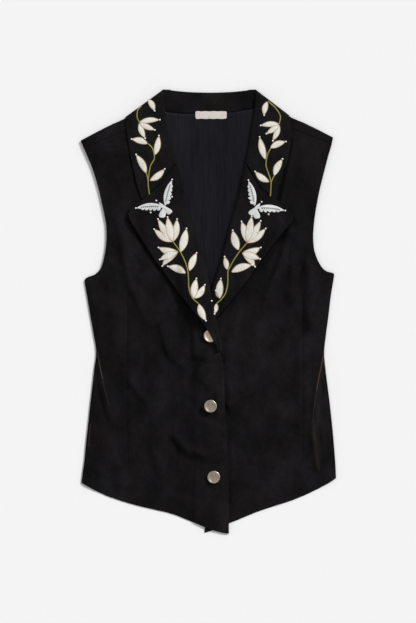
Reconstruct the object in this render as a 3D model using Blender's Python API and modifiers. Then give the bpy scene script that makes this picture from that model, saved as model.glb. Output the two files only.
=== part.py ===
"""A sleeveless fitted waistcoat laid flat, face up, on a level surface.

The back lies at the bottom and turns over the shoulders. The lining, the two fronts,
the lapels and the collar lie on it in that order. Each cloth piece is a sheet over a
grid of sections, given its wall by Solidify, and rests on what lies beneath it.
Left and right are those of someone who looks down on it. Sizes are in millimetres.
"""

import math

import bmesh
import bpy
import numpy as np

# Driving sizes
BACK_WALL = 1.2
LINING_WALL = 1.1
FRONT_WALL = 1.3
LAPEL_WALL = 1.3
COLLAR_WALL = 1.3
LABEL_WALL = 1.0
SEAM_GAP = 0.3
LAY_GAP = 0.4
FINE = 1
RASTER = 2.0
HALF_X = 220.0
HALF_Y = 372.0
REACH = 15.0
SOFT = 8.0
LINING_INSET = 6.5
LEG_WIDTH = 12.0
ROLL_RADIUS = 1.3
CENTRE = (0.4, -0.15)
AIR = 2.0
FADE = 26.0
CAP_RADIUS = 10.3
CAP_FLAT = 13.0
LABEL_BOX = (-21.6, 307.6, 30.1, 320.4)
GORGE_GAP = 0.9
COLLAR_ROLL = 0.9
CORNER_SPREAD = 10.0
STAND_LOW = 2.1
FRONT_ROWS = 44
LAPEL_ROWS = 17
BELLY = 1.6

# A snap cap's profile, turned about its axis: a shallow dish inside a rounded rim
CAP = (
    # radius, height
    (0.0, 2.45),
    (4.0, 2.5),
    (7.0, 2.75),
    (8.2, 3.05),
    (9.0, 3.2),
    (9.7, 2.95),
    (10.2, 2.2),
    (10.3, 1.2),
    (10.0, 0.4),
    (9.3, 0.0),
    (0.0, 0.0),
)

# Where the shoulder seams lie, outer end and neck end
SEAM_L = ((-199.8, 262.8), (-90.4, 305.4))
SEAM_R = ((95.2, 305.4), (197.4, 268.0))


# Sections and outlines
FRONT_LEFT = (
    # outer x, outer y, inner x, inner y
    (-202.7, -274, 32.8, -355.3),
    (-200.2, -254, 32.8, -334),
    (-197.9, -238, 32.5, -302),
    (-195.2, -209.2, 31.8, -270),
    (-192, -180.4, 30.7, -238),
    (-189, -151.6, 28.8, -202.8),
    (-185.6, -122.8, 27.2, -166),
    (-182.4, -94, 25.6, -126),
    (-179, -65.2, 23, -87.6),
    (-183.2, -36.4, 17.3, -62),
    (-188.3, -7.6, 12.3, -33.2),
    (-193, 21.2, 7.7, -4.4),
    (-197.6, 50, 0.5, 22.8),
    (-181, 59.6, -3.5, 43.6),
    (-171.8, 69.2, -7.8, 62.8),
    (-166.2, 88.4, -15.2, 88.4),
    (-163.4, 107.6, -21.1, 109.2),
    (-162.7, 122, -26.9, 126.8),
    (-163.2, 136.4, -30.9, 142.8),
    (-166.4, 155.6, -36, 165.2),
    (-170.6, 174.8, -41.4, 189.2),
    (-174.9, 194, -46.9, 210),
    (-180.3, 213.2, -53.6, 232.4),
    (-186.6, 232.4, -65.6, 249.2),
    (-192.8, 246.8, -77.6, 266.8),
    (-197.1, 257.2, -86.2, 286.8),
    (-199.8, 262.8, -90.4, 305.4),
)
HEM_LEFT = (
    # x, y
    (-202.7, -274),
    (-181.6, -285.8),
    (-162.4, -295),
    (-143.2, -301.8),
    (-124, -307.6),
    (-104.8, -312.6),
    (-85.6, -317),
    (-66.4, -321.2),
    (-52, -325.7),
    (-37.6, -331.6),
    (-18.4, -339.4),
    (7.2, -349.8),
    (23.2, -354),
    (32.8, -355.3),
)
FRONT_RIGHT = (
    # outer x, outer y, inner x, inner y
    (204, -266.5, -5.6, -353.7),
    (203.2, -247.6, -6.2, -330.8),
    (201.6, -225.2, -6.4, -302),
    (199.5, -199.6, -6.4, -270),
    (197, -174, -6.4, -238),
    (194.4, -150, -6.4, -202.8),
    (191, -122.8, -6.4, -166),
    (187.4, -94, -6.7, -126),
    (185, -66.8, -7.2, -87.6),
    (188, -36.4, -6.6, -62),
    (191.8, -7.6, -4.3, -33.2),
    (195.4, 22.8, -0.8, -4.4),
    (201.1, 59.6, 4.3, 22.8),
    (189.9, 64.1, 11.4, 45.2),
    (183, 69.2, 17.8, 64.4),
    (173.1, 86.8, 24.3, 86.8),
    (168.8, 102.8, 30.7, 109.2),
    (167.7, 120.4, 35.7, 128.4),
    (168.6, 136.4, 40.5, 146),
    (170.9, 155.6, 46.1, 168.4),
    (174.1, 174.8, 51.4, 190.8),
    (177.9, 194, 57.1, 213.2),
    (182.6, 213.2, 63.5, 233.2),
    (187.5, 232.4, 73.8, 250),
    (191.2, 246.8, 84.3, 267.6),
    (195, 259.6, 91.7, 288.4),
    (197.4, 267.9, 95.2, 305.4),
)
HEM_RIGHT = (
    # x, y
    (204, -266.5),
    (192.8, -273.8),
    (173.6, -284.4),
    (154.4, -293.7),
    (135.2, -301.7),
    (116, -307.9),
    (96.8, -314),
    (77.6, -320.6),
    (58.4, -328.4),
    (45.6, -334),
    (34.1, -338.3),
    (13.6, -347.1),
    (2.4, -351.6),
    (-5.6, -353.7),
)
LAPEL_LEFT = (
    # roll x, roll y, edge x, edge y
    (-50.4, 235.6, -126.4, 147.6),
    (-44, 213.2, -108, 117.2),
    (-36, 179.6, -87.2, 85.2),
    (-28, 144.4, -66.4, 56.4),
    (-17.4, 107.6, -44, 26),
    (-5.6, 67.6, -21.6, -2.8),
    (3.4, 29.2, -4, -25.2),
    (11.4, -7.6, 5.9, -42.8),
    (18.2, -62, 13.9, -59.6),
)
GORGE_LEFT = (
    # x, y
    (-50.4, 235.6),
    (-63.2, 221.2),
    (-76, 203.6),
    (-90.4, 190.8),
    (-105.6, 178),
    (-119.2, 171.6),
    (-125.6, 163.6),
    (-127.5, 154.8),
    (-126.4, 147.6),
)
LAPEL_RIGHT = (
    # roll x, roll y, edge x, edge y
    (58.9, 235.6, 135.2, 146),
    (53.6, 214.8, 122.4, 130),
    (46.6, 184.4, 104.8, 109.2),
    (38.2, 150.8, 85.6, 83.6),
    (28, 114, 64.8, 53.2),
    (19.2, 78.8, 47.2, 30.8),
    (5.3, 37.2, 28, 6.8),
    (-3.4, 2, 12, -10.8),
    (-7.2, -30, 0.8, -30),
    (-8.8, -58.8, -4.6, -56.4),
)
GORGE_RIGHT = (
    # x, y
    (58.9, 235.6),
    (64.8, 226),
    (71.2, 214.8),
    (84, 195.6),
    (95.2, 186),
    (111.2, 176.4),
    (125.6, 163.6),
    (134.4, 154.8),
    (135.2, 146),
)
COLLAR_LEFT = (
    # roll x, roll y, edge x, edge y, seam x, seam y
    (-49.9, 236.6, -105.3, 179.1, -57.1, 241.5),
    (-54.2, 250, -113.9, 203.6, -67, 253.2),
    (-58.9, 266, -119.2, 226, -77, 268.4),
    (-63.2, 283.6, -124, 248.4, -84.6, 286),
    (-66.7, 302.8, -127.8, 269.2, -88.5, 303.6),
    (-69.3, 322, -130.4, 288.4, -89.1, 317.2),
    (-69.9, 338, -132, 302, -89.1, 325.2),
)
COLLAR_BACK = (
    # roll x, roll y, edge x, edge y, seam x, seam y
    (-72, 355.1, -133.1, 310.8, -88.8, 331.3),
    (-60, 354, -108, 299.6, -78.4, 324.9),
    (-47.2, 352.6, -85.6, 294.8, -64, 319.5),
    (-28, 351.1, -47.2, 296.4, -37.6, 317.3),
    (1.6, 350.3, 1.6, 298, 2.4, 316.9),
    (32.8, 351.1, 52, 298, 42.4, 320.1),
    (52, 352.7, 90.4, 298.8, 68.8, 324.9),
    (63.2, 354, 108, 302.8, 82.4, 329.4),
    (75.4, 355, 129.9, 313.5, 92.3, 331.6),
)
COLLAR_RIGHT = (
    # roll x, roll y, edge x, edge y, seam x, seam y
    (74.4, 340.4, 130.2, 305.2, 93, 326),
    (73.6, 325.2, 131.7, 293.2, 93, 317.2),
    (70.1, 304.4, 131.7, 272.4, 92.6, 303.6),
    (67, 283.6, 128.8, 250.8, 90.1, 287.6),
    (63.8, 262.8, 123.7, 230.8, 82.2, 269.2),
    (61.4, 249.2, 120, 210, 72.5, 254),
    (58.6, 236.9, 112.2, 177.7, 65.1, 242),
)
BACK = (
    # left x, left y, right x, right y
    (-201.4, -270.8, 202.9, -264.1),
    (-198.9, -250.8, 202.4, -244.4),
    (-197, -234.8, 200.8, -222),
    (-194.2, -207.6, 198.6, -198),
    (-191, -178.8, 196, -172.4),
    (-188, -150, 193.4, -148.4),
    (-184.6, -121.2, 190.1, -121.2),
    (-181.4, -92.4, 186.4, -92.4),
    (-178.1, -65.2, 184, -66.8),
    (-182.2, -36.4, 187, -36.4),
    (-187.4, -7.6, 190.9, -7.6),
    (-192, 21.2, 194.4, 22.8),
    (-196.3, 49.2, 199.8, 58.6),
    (-180, 58, 189.3, 63),
    (-170.7, 67.6, 182.1, 67.6),
    (-165.1, 87.6, 172, 86.8),
    (-162.4, 107.6, 167.8, 102.8),
    (-161.8, 122, 166.7, 120.4),
    (-162.2, 136.4, 167.7, 136.4),
    (-165.4, 155.6, 169.9, 155.6),
    (-169.6, 174.8, 173.1, 174.8),
    (-173.9, 194, 177, 194),
    (-179.4, 213.2, 181.6, 213.2),
    (-185.6, 232.4, 186.6, 232.4),
    (-194.1, 251.6, 191.8, 251.6),
    (-199.5, 262.8, 196.3, 265.7),
    (-202.9, 270.5, 198.7, 275.3),
)
BACK_TOP = (
    # x, y
    (-202.9, 270.5),
    (-178.4, 283),
    (-156, 294.2),
    (-132.8, 305.8),
    (-111.2, 317.4),
    (-90.9, 327.9),
    (-78.4, 323.3),
    (-64, 318),
    (-37.6, 315.8),
    (2.4, 315.4),
    (42.4, 318.6),
    (68.8, 323.4),
    (82.4, 327),
    (94.6, 328.1),
    (109.6, 319.8),
    (129.9, 308.6),
    (152.8, 297.7),
    (176.8, 286.2),
    (198.7, 275.3),
)
SNAPS = (
    # x, y
    (2.9, -38.5),
    (3.5, -150.6),
    (8.6, -264.2),
)
FOLDS_LEFT = (
    # from x, from y, to x, to y, width, height
    (-141.6, 138, -128.8, 59.6, 8, 3),
    (-128.8, 59.6, -93.6, -23.6, 9, 3),
    (-93.6, -23.6, -42.4, 14.8, 9, 2.6),
    (-112.8, 40.4, -93.6, 21.2, 9, -1.6),
    (-63.2, -63.6, -13.6, -65.2, 12, 2.6),
    (-84, -30, -71.2, -78, 9, -2.4),
    (-71.2, -78, -32.8, -106.8, 9, -2.4),
    (-32.8, -106.8, -4, -129.2, 8, -2.2),
    (-119.2, -84.4, -90.4, -129.2, 9, -2),
    (-125.6, -110, -103.2, -142, 8, 2.2),
    (-52, -199.6, -32.8, -222, 8, 3),
    (-32.8, -222, -7.2, -226.8, 8, 3.2),
    (-7.2, -226.8, 23.2, -217.2, 8, 2.6),
    (-58.4, -212.4, -39.2, -239.6, 8, -2.2),
    (-39.2, -239.6, -7.2, -249.2, 8, -2.4),
    (-93.6, -199.6, -77.6, -257.2, 9, 2.4),
    (-176, -66.8, -173.6, -89.2, 7, 2.6),
    (-173.6, -89.2, -164, -137.2, 7, 3),
    (-164, -137.2, -156, -174, 8, 2.2),
    (-152.8, 18, -144.8, -65.2, 10, 1.8),
    (-108, 154, -76, 78.8, 11, -1.5),
    (-140, -190, -128.8, -254, 10, -1.4),
)
FOLDS_RIGHT = (
    # from x, from y, to x, to y, width, height
    (108, -58.8, 76, -97.2, 9, -2.4),
    (101.6, -106.8, 53.6, -135.6, 9, 3),
    (53.6, -135.6, 31.2, -148.4, 8, 2.6),
    (31.2, -167.6, 56.8, -183.6, 9, -2),
    (92, -177.2, 133.6, -186.8, 9, -2),
    (108, -202.8, 72.8, -234.8, 9, 2.6),
    (128.8, 126.8, 116, 82, 9, 2.8),
    (116, 82, 95.2, 26, 9, 2.8),
    (133.6, 98, 133.6, 18, 8, 1.8),
    (157.6, 77.2, 160.8, -22, 8, 2.2),
    (182.9, -73.2, 175.2, -121.2, 7, 2.8),
    (175.2, -121.2, 172, -169.2, 7, 2.6),
    (172, -169.2, 165.6, -194.8, 7, 2.6),
    (165.6, -194.8, 172, -217.2, 7, 2.6),
    (172, -217.2, 175.2, -247.6, 7, 2),
    (69.6, 18, 39.2, -23.6, 8, 2),
    (146.4, -54, 149.6, -142, 10, 1.6),
    (87.2, -14, 124, -46, 10, -1.6),
)


def smooth_step(value):
    """Runs from 0 to 1 without a corner."""
    value = np.clip(value, 0.0, 1.0)
    return value * value * (3.0 - 2.0 * value)


def through(table, count):
    """Points of a table's rows at even steps, along a curve that never overshoots."""
    rows = np.array(table, float)
    step = np.diff(rows, axis=0)
    slope = np.zeros_like(rows)
    same = step[:-1] * step[1:] > 0
    total = np.where(same, step[:-1] + step[1:], 1.0)
    slope[1:-1] = np.where(same, 2.0 * step[:-1] * step[1:] / total, 0.0)
    slope[0] = step[0]
    slope[-1] = step[-1]
    at = np.linspace(0.0, len(rows) - 1.0, count)
    low = np.minimum(at.astype(int), len(rows) - 2)
    part = (at - low)[:, None]
    first = rows[low]
    last = rows[low + 1]
    swing = slope[low]
    settle = slope[low + 1]
    square = part * part
    cube = square * part
    return (
        (2 * cube - 3 * square + 1) * first
        + (cube - 2 * square + part) * swing
        + (3 * square - 2 * cube) * last
        + (cube - square) * settle
    )


def along(table, shares):
    """Points on the line through a table's x and y, at shares of its length."""
    points = np.array(table, float)
    length = np.concatenate([[0.0], np.cumsum(np.hypot(*np.diff(points, axis=0).T))])
    at = np.asarray(shares) * length[-1]
    return np.stack([np.interp(at, length, points[:, k]) for k in range(2)], axis=1)


def patch(first, last, start, end, shares):
    """A grid of plan points between two side lines and two end lines."""
    count = len(first)
    down = np.linspace(0.0, 1.0, count)[:, None, None]
    over = np.asarray(shares)[None, :, None]
    sides = (1 - over) * first[:, None, :] + over * last[:, None, :]
    straight_start = (1 - over[0]) * first[0] + over[0] * last[0]
    straight_end = (1 - over[0]) * first[-1] + over[0] * last[-1]
    near_start = np.clip(1.0 - down * 3.0, 0.0, 1.0) ** 1.5
    near_end = np.clip(1.0 - (1.0 - down) * 4.0, 0.0, 1.0)
    grid = sides + near_start * (start - straight_start)[None]
    return grid + near_end * (end - straight_end)[None]


def shift(field, rows, columns):
    """The field moved by whole cells, with its edge values repeated."""
    padded = np.pad(field, ((abs(rows), abs(rows)), (abs(columns), abs(columns))), mode="edge")
    top = abs(rows) + rows
    side = abs(columns) + columns
    return padded[top:top + field.shape[0], side:side + field.shape[1]]


class Ground:
    """The height of all that has been laid so far, over a plan grid."""

    def __init__(self):
        self.x = np.arange(-HALF_X, HALF_X + RASTER, RASTER)
        self.y = np.arange(-HALF_Y, HALF_Y + RASTER, RASTER)
        self.top = np.zeros((len(self.y), len(self.x)))

    def copy(self):
        """The same heights, kept apart."""
        other = Ground()
        other.top = self.top.copy()
        return other

    def lay(self, points, faces):
        """Raises the heights to the tops of a piece's triangles."""
        for face in faces:
            a, b, c = points[face]
            low = np.minimum(np.minimum(a, b), c)
            high = np.maximum(np.maximum(a, b), c)
            i0 = max(int((low[0] + HALF_X) / RASTER) - 1, 0)
            i1 = min(int((high[0] + HALF_X) / RASTER) + 2, len(self.x))
            j0 = max(int((low[1] + HALF_Y) / RASTER) - 1, 0)
            j1 = min(int((high[1] + HALF_Y) / RASTER) + 2, len(self.y))
            ab = b[:2] - a[:2]
            ac = c[:2] - a[:2]
            area = ab[0] * ac[1] - ab[1] * ac[0]
            if abs(area) < 1e-9 or i1 <= i0 or j1 <= j0:
                continue
            px = self.x[None, i0:i1] - a[0]
            py = self.y[j0:j1, None] - a[1]
            v = (px * ac[1] - py * ac[0]) / area
            w = (ab[0] * py - ab[1] * px) / area
            inside = (v >= -1e-6) & (w >= -1e-6) & (v + w <= 1 + 1e-6)
            height = a[2] + v * (b[2] - a[2]) + w * (c[2] - a[2])
            window = self.top[j0:j1, i0:i1]
            window[inside] = np.maximum(window[inside], height[inside])

    def cover(self, reach, soft):
        """A soft field that is nowhere below the tops within reach of a point."""
        field = self.top
        cells = int(math.ceil((reach + soft) / RASTER))
        for axis in range(2):
            best = field.copy()
            for step in range(1, cells + 1):
                move = (step, 0) if axis == 0 else (0, step)
                back = (-step, 0) if axis == 0 else (0, -step)
                best = np.maximum(best, np.maximum(shift(field, *move), shift(field, *back)))
            field = best
        half = int(soft / RASTER / 2)
        for _ in range(2):
            for axis in range(2):
                total = np.zeros_like(field)
                for step in range(-half, half + 1):
                    move = (step, 0) if axis == 0 else (0, step)
                    total += shift(field, *move)
                field = total / (2 * half + 1)
        return field

    def at(self, field, plan):
        """A field's values at plan points."""
        fx = (plan[..., 0] + HALF_X) / RASTER
        fy = (plan[..., 1] + HALF_Y) / RASTER
        i = np.clip(fx.astype(int), 0, len(self.x) - 2)
        j = np.clip(fy.astype(int), 0, len(self.y) - 2)
        u = np.clip(fx - i, 0, 1)
        v = np.clip(fy - j, 0, 1)
        low = field[j, i] * (1 - u) + field[j, i + 1] * u
        high = field[j + 1, i] * (1 - u) + field[j + 1, i + 1] * u
        return low * (1 - v) + high * v


def from_line(plan, x0, y0, x1, y1):
    """How far plan points lie from a straight line between two points."""
    across = np.array([x1 - x0, y1 - y0])
    size = max(across @ across, 1e-9)
    rest = plan - np.array([x0, y0])
    share = np.clip((rest @ across) / size, 0, 1)
    return np.linalg.norm(rest - share[..., None] * across, axis=-1)


def relief(plan, folds, rim):
    """How much a panel stands up above what it lies on: some air, and its folds."""
    from_rim = np.full(plan.shape[:-1], 1e9)
    for point in rim:
        from_rim = np.minimum(from_rim, np.hypot(plan[..., 0] - point[0], plan[..., 1] - point[1]))
    ridge = np.zeros(plan.shape[:-1])
    trough = np.zeros(plan.shape[:-1])
    for x0, y0, x1, y1, width, height in folds:
        away = from_line(plan, x0, y0, x1, y1)
        swell = height * np.exp(-(away / width) ** 2)
        ridge = np.maximum(ridge, swell)
        trough = np.minimum(trough, swell)
    rise = np.maximum(AIR + ridge + trough, 0.0) * smooth_step(from_rim / FADE)
    for x, y in SNAPS:
        away = np.hypot(plan[..., 0] - x, plan[..., 1] - y)
        rise = rise * smooth_step((away - CAP_FLAT) / 18.0)
    return rise


def cloth(name, colour, roughness):
    """A plain material of its own."""
    material = bpy.data.materials.new(name)
    material.use_nodes = True
    shader = material.node_tree.nodes["Principled BSDF"]
    shader.inputs["Base Color"].default_value = (*colour, 1.0)
    shader.inputs["Roughness"].default_value = roughness
    return material


def evaluated(item):
    """A piece's points in millimetres and its triangles, as built."""
    graph = bpy.context.evaluated_depsgraph_get()
    shown = item.evaluated_get(graph)
    mesh = shown.to_mesh()
    mesh.calc_loop_triangles()
    points = np.array([v.co[:] for v in mesh.vertices]) * 1000.0
    points = points + np.array([CENTRE[0], CENTRE[1], 0.0])
    faces = np.array([t.vertices[:] for t in mesh.loop_triangles])
    shown.to_mesh_clear()
    return points, faces


def sheet(name, grid, wall, side, material, keep=None):
    """A grid of points as cloth, its wall on the side that side names."""
    rows, columns = grid.shape[:2]
    mesh = bpy.data.meshes.new(name)
    shape = bmesh.new()
    verts = {}

    def vertex(i, j):
        if (i, j) not in verts:
            x, y, z = grid[i, j]
            place = (x - CENTRE[0], y - CENTRE[1], z)
            verts[i, j] = shape.verts.new([0.001 * value for value in place])
        return verts[i, j]

    for i in range(rows - 1):
        for j in range(columns - 1):
            if keep is None or keep[i, j]:
                ring = [vertex(i, j), vertex(i, j + 1), vertex(i + 1, j + 1), vertex(i + 1, j)]
                face = shape.faces.new(ring)
                face.smooth = True
    shape.normal_update()
    shape.to_mesh(mesh)
    shape.free()
    mesh.materials.append(material)
    item = bpy.data.objects.new(name, mesh)
    GARMENT.objects.link(item)
    shell = item.modifiers.new("wall", "SOLIDIFY")
    shell.thickness = wall * 0.001
    shell.offset = float(side)
    shell.use_even_offset = False
    shell.use_quality_normals = True
    return item


def outline(grid):
    """The plan points round a grid."""
    rim = [grid[0], grid[-1], grid[:, 0], grid[:, -1]]
    return np.concatenate(rim)[:, :2]


def spread(parts):
    """Shares from 0 to 1 with the given parts as steps, made finer by FINE."""
    steps = np.repeat(np.array(parts, float) / FINE, FINE)
    return np.concatenate([[0.0], np.cumsum(steps) / np.sum(steps)])


def lift(cover):
    """The gap kept above what is covered, and none above the bare surface."""
    return LAY_GAP * np.clip(cover / BACK_WALL, 0.0, 1.0)


def laid(ground, plan, reach, soft):
    """How high the underside of a sheet lies at plan points."""
    cover = ground.at(ground.cover(reach, soft), plan)
    return cover + lift(cover)


def with_height(plan, height):
    """Plan points with their heights."""
    return np.concatenate([plan, height[..., None]], axis=-1)


def half_turn(start, end, outward, parts):
    """Points on a half round from start to end that bulges outward."""
    middle = (start + end) / 2
    arm = (end - start) / 2
    size = np.linalg.norm(arm, axis=-1, keepdims=True)
    angles = np.linspace(-90.0, 90.0, parts + 1)[1:-1]
    points = []
    for angle in angles:
        turn = math.radians(angle)
        points.append(middle + math.sin(turn) * arm + math.cos(turn) * size * outward)
    return np.stack(points, axis=-2)


def straight_rows(first, last, shares):
    """Rows of plan points on straight lines between two side lines."""
    over = np.asarray(shares)[None, :, None]
    return (1 - over) * first[:, None, :] + over * last[:, None, :]


def between(start, end, shares):
    """Points on a straight line from start to end."""
    over = np.asarray(shares)[:, None]
    return (1 - over) * np.array(start) + over * np.array(end)


def leaf_ground():
    """The part of the collar that lies below the back, as a first ground."""
    ground = Ground()
    rows = through(COLLAR_BACK, 40)
    points = []
    faces = []
    for row in rows:
        points.append((row[0], row[1], COLLAR_WALL))
        points.append((row[2], row[3], COLLAR_WALL))
    for i in range(len(rows) - 1):
        faces.append((2 * i, 2 * i + 1, 2 * i + 3))
        faces.append((2 * i, 2 * i + 3, 2 * i + 2))
    ground.lay(np.array(points), np.array(faces))
    return ground


def grid_faces(grid):
    """A grid's points and triangles."""
    rows, columns = grid.shape[:2]
    faces = []
    for i in range(rows - 1):
        for j in range(columns - 1):
            a = i * columns + j
            faces.append((a, a + 1, a + columns + 1))
            faces.append((a, a + columns + 1, a + columns))
    return grid.reshape(-1, 3), np.array(faces)


def neck_shares(table):
    """Shares along a top line that keep a column at each end of the neck."""
    length = np.concatenate([[0.0], np.cumsum(np.hypot(*np.diff(table, axis=0).T))])
    neck_left = length[5] / length[-1]
    neck_right = length[13] / length[-1]
    return np.concatenate([
        np.linspace(0, neck_left, 5 * FINE + 1),
        np.linspace(neck_left, neck_right, 8 * FINE + 1)[1:],
        np.linspace(neck_right, 1, 5 * FINE + 1)[1:],
    ])


def make_back(under):
    """The back with its lips over the shoulders, and the height field below it."""
    lip = 5 * FINE
    shares = neck_shares(np.array(BACK_TOP))
    sides = through(BACK, 27 * FINE)
    top = along(BACK_TOP, shares)
    hem = along([sides[0, :2], sides[0, 2:]], shares)
    plan = patch(sides[:, :2], sides[:, 2:], hem, top, shares)
    seam = np.full_like(top, np.nan)
    seam[:lip + 1] = between(SEAM_L[0], SEAM_L[1], np.linspace(0, 1, lip + 1))
    seam[-lip - 1:] = between(SEAM_R[0], SEAM_R[1], np.linspace(0, 1, lip + 1))
    turned = ~np.isnan(seam[:, 0])
    way = np.zeros_like(top)
    way[turned] = seam[turned] - top[turned]
    way[turned] /= np.linalg.norm(way[turned], axis=1, keepdims=True)
    plan[-1] += way * 1.0
    rise = under.at(under.cover(REACH, SOFT), plan)
    grid = with_height(plan, rise * 1.35 + BACK_WALL)
    return grid, turned, top, way, seam


def finish_back(grid, turned, top, way, seam, ground):
    """Adds the lips over the shoulders to the back's grid."""
    lips = []
    reach = np.where(turned[:, None], np.nan_to_num(seam) - way * 0.35, top)
    start = grid[-1].copy()
    end_plan = start[:, :2]
    end = with_height(end_plan, laid(ground, end_plan, REACH, SOFT))
    end[:, 2] = np.maximum(end[:, 2], start[:, 2] + 1.2)
    out = np.concatenate([-way, np.zeros((len(way), 1))], axis=1)
    arc = half_turn(start, end, out, 4)
    for k in range(arc.shape[1]):
        lips.append(arc[:, k])
    lips.append(end)
    for share in np.linspace(0, 1, 2 * FINE + 1)[1:]:
        plan = end_plan + share * (reach - end_plan)
        lips.append(with_height(plan, laid(ground, plan, REACH, SOFT)))
    for row in lips:
        row[~turned] = start[~turned]
    full = np.concatenate([grid, np.array(lips)])
    keep = np.ones((full.shape[0] - 1, full.shape[1] - 1), bool)
    keep[len(grid) - 1:] = turned[:-1] & turned[1:]
    return full, keep


def make_lining(ground):
    """The lining inside the back, in from its sides, hem and shoulder folds."""
    table = np.array(BACK_TOP)
    table[:6, 1] -= 6.0
    table[13:, 1] -= 6.0
    table[6:13, 1] -= 0.8
    table[0, 0] += LINING_INSET
    table[-1, 0] -= LINING_INSET
    sides = through(BACK, 24 * FINE)
    sides[:, 0] += LINING_INSET
    sides[:, 2] -= LINING_INSET
    sides[0, 1::2] += 18.0
    sides[1, 1::2] += 8.0
    sides[-1, 1::2] -= 6.0
    shares = neck_shares(table)
    top = along(table, shares)
    hem = along([sides[0, :2], sides[0, 2:]], shares)
    plan = patch(sides[:, :2], sides[:, 2:], hem, top, shares)
    return with_height(plan, laid(ground, plan, 12.0, SOFT) - LAY_GAP + SEAM_GAP)


def make_front(table, hem, seam, ground, folds, rows):
    """A front: from its hem to the shoulder seam, and from its side to its front edge."""
    shares = spread([0.35, 0.9] + [1.0] * 8 + [0.9, 0.6, 0.5])
    sides = through(table, rows * FINE)
    start = along(hem, shares)
    end = along(seam, shares)
    plan = patch(sides[:, :2], sides[:, 2:], start, end, shares)
    height = laid(ground, plan, REACH, SOFT) + relief(plan, folds, outline(plan))
    pinned = smooth_step((70.0 - plan[:, 0, 1]) / 20.0) * smooth_step((plan[:, 0, 1] + 300.0) / 20.0)
    low = BACK_WALL + SEAM_GAP
    for step in range(FINE):
        part = pinned * (1 - step / FINE)
        height[:, step] = height[:, step] * (1 - part) + low * part
    return with_height(plan, height)


def roll_lines(table, rows, facing):
    """The roll's plan points, the leaf's far points and the way the roll faces."""
    sides = through(table, rows * FINE)
    roll = sides[:, :2]
    tangent = np.gradient(roll, axis=0)
    tangent /= np.linalg.norm(tangent, axis=1, keepdims=True)
    out = np.stack([-tangent[:, 1], tangent[:, 0]], axis=1) * facing
    return roll - out * LAPEL_WALL, sides[:, 2:], out


def make_leg(table, rows, facing, ground):
    """The part of a lapel that lies inside the front, along the roll line."""
    roll, _, out = roll_lines(table, rows, facing)
    share = np.linspace(0.0, 1.0, len(roll))
    width = LEG_WIDTH * (1.0 - 0.45 * smooth_step((share - 0.6) / 0.4))
    lines = []
    for part in spread([1.0, 0.8])[::-1]:
        lines.append(roll - out * (ROLL_RADIUS + 0.4 + part * width[:, None]))
    plan = np.stack(lines, axis=1)
    return with_height(plan, laid(ground, plan, 11.0, 4.0) + LAPEL_WALL)


def make_lapel(leg, table, gorge, rows, facing, ground, belly):
    """A whole lapel: leg, roll and leaf."""
    roll, far, out = roll_lines(table, rows, facing)
    length = np.cumsum(np.hypot(*np.diff(np.array(gorge), axis=0).T))
    notch = length[3] / length[-1]
    inner_part = np.linspace(0.0, notch, 5 * FINE + 1)
    shares = np.concatenate([inner_part, np.linspace(notch, 1.0, 2 * FINE + 1)[1:]])
    near = roll - out * (ROLL_RADIUS + 0.1)
    top = along(gorge, shares)
    top[0] = near[0]
    plan = straight_rows(near, far, shares)
    down = np.linspace(0.0, 1.0, len(near))[:, None, None]
    plan = plan + np.clip(1.0 - down * 2.2, 0.0, 1.0) * (top - plan[0])[None]
    height = laid(ground, plan, 11.0, 4.0)
    swell = np.sin(np.pi * shares)[None, :] * smooth_step((1.0 - down[..., 0]) * 3.0)
    height = height + belly * swell * smooth_step(down[..., 0] * 6.0)
    leaf = with_height(plan, height)
    start = leg[:, -1].copy()
    start[:, :2] = near
    start[:, 2] = np.minimum(start[:, 2], height[:, 0] - 1.4)
    arc = half_turn(start, leaf[:, 0], np.concatenate([out, np.zeros((len(out), 1))], axis=1), 4)
    return np.concatenate([leg[:, :-1], start[:, None], arc, leaf], axis=1)


def collar_rows():
    """Key rows of the collar: roll, edge and seam points, side, turn and whether it folds."""
    rows = []
    left = through(COLLAR_LEFT, 9 * FINE)
    right = through(COLLAR_RIGHT, 9 * FINE)
    back = through(COLLAR_BACK, 15 * FINE)[2 * FINE:-2 * FINE]
    turns = np.linspace(0.0, 180.0, 4 * FINE + 1)
    for row in left:
        rows.append((*row, 1.0, 0.0, 0.0))
    for turn in turns:
        rows.append((*COLLAR_BACK[0], 1.0, turn, 1.0))
    for row in back:
        rows.append((*row, 1.0, 180.0, 0.0))
    for turn in turns[::-1]:
        rows.append((*COLLAR_BACK[-1], -1.0, turn, 1.0))
    for row in right:
        rows.append((*row, -1.0, 0.0, 0.0))
    return np.array(rows)


def make_stand_front(rows, ground):
    """The stand's ends on the lining, below the leaf, as height fields."""
    grids = []
    for facing in (1.0, -1.0):
        part = rows[(rows[:, 6] == facing) & (rows[:, 7] < 1.0)]
        plan = straight_rows(part[:, 4:6], part[:, 0:2], np.linspace(0.0, 1.0, 4))
        grids.append(with_height(plan, laid(ground, plan, 11.0, 4.0) + COLLAR_WALL))
    return grids


def back_stand(rows):
    """The top of the stand at the back neck, as a height field."""
    part = rows[rows[:, 7] > 170.0]
    plan = straight_rows(part[:, 4:6], part[:, 0:2], np.linspace(0.0, 1.0, 4))
    rise = 2 * COLLAR_ROLL - STAND_LOW + COLLAR_WALL
    top = STAND_LOW + COLLAR_WALL + 0.6 + np.linspace(0.0, 1.0, 4) ** 2 * rise
    return with_height(plan, np.broadcast_to(top, plan.shape[:2]).copy())


def unit(vector):
    """The vector at length one."""
    return vector / np.linalg.norm(vector)


def square_to(way, positive, axis):
    """The direction square to way that is positive or negative along an axis."""
    side = np.array([-way[1], way[0]])
    return side if (side[axis] > 0) == positive else -side


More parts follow.
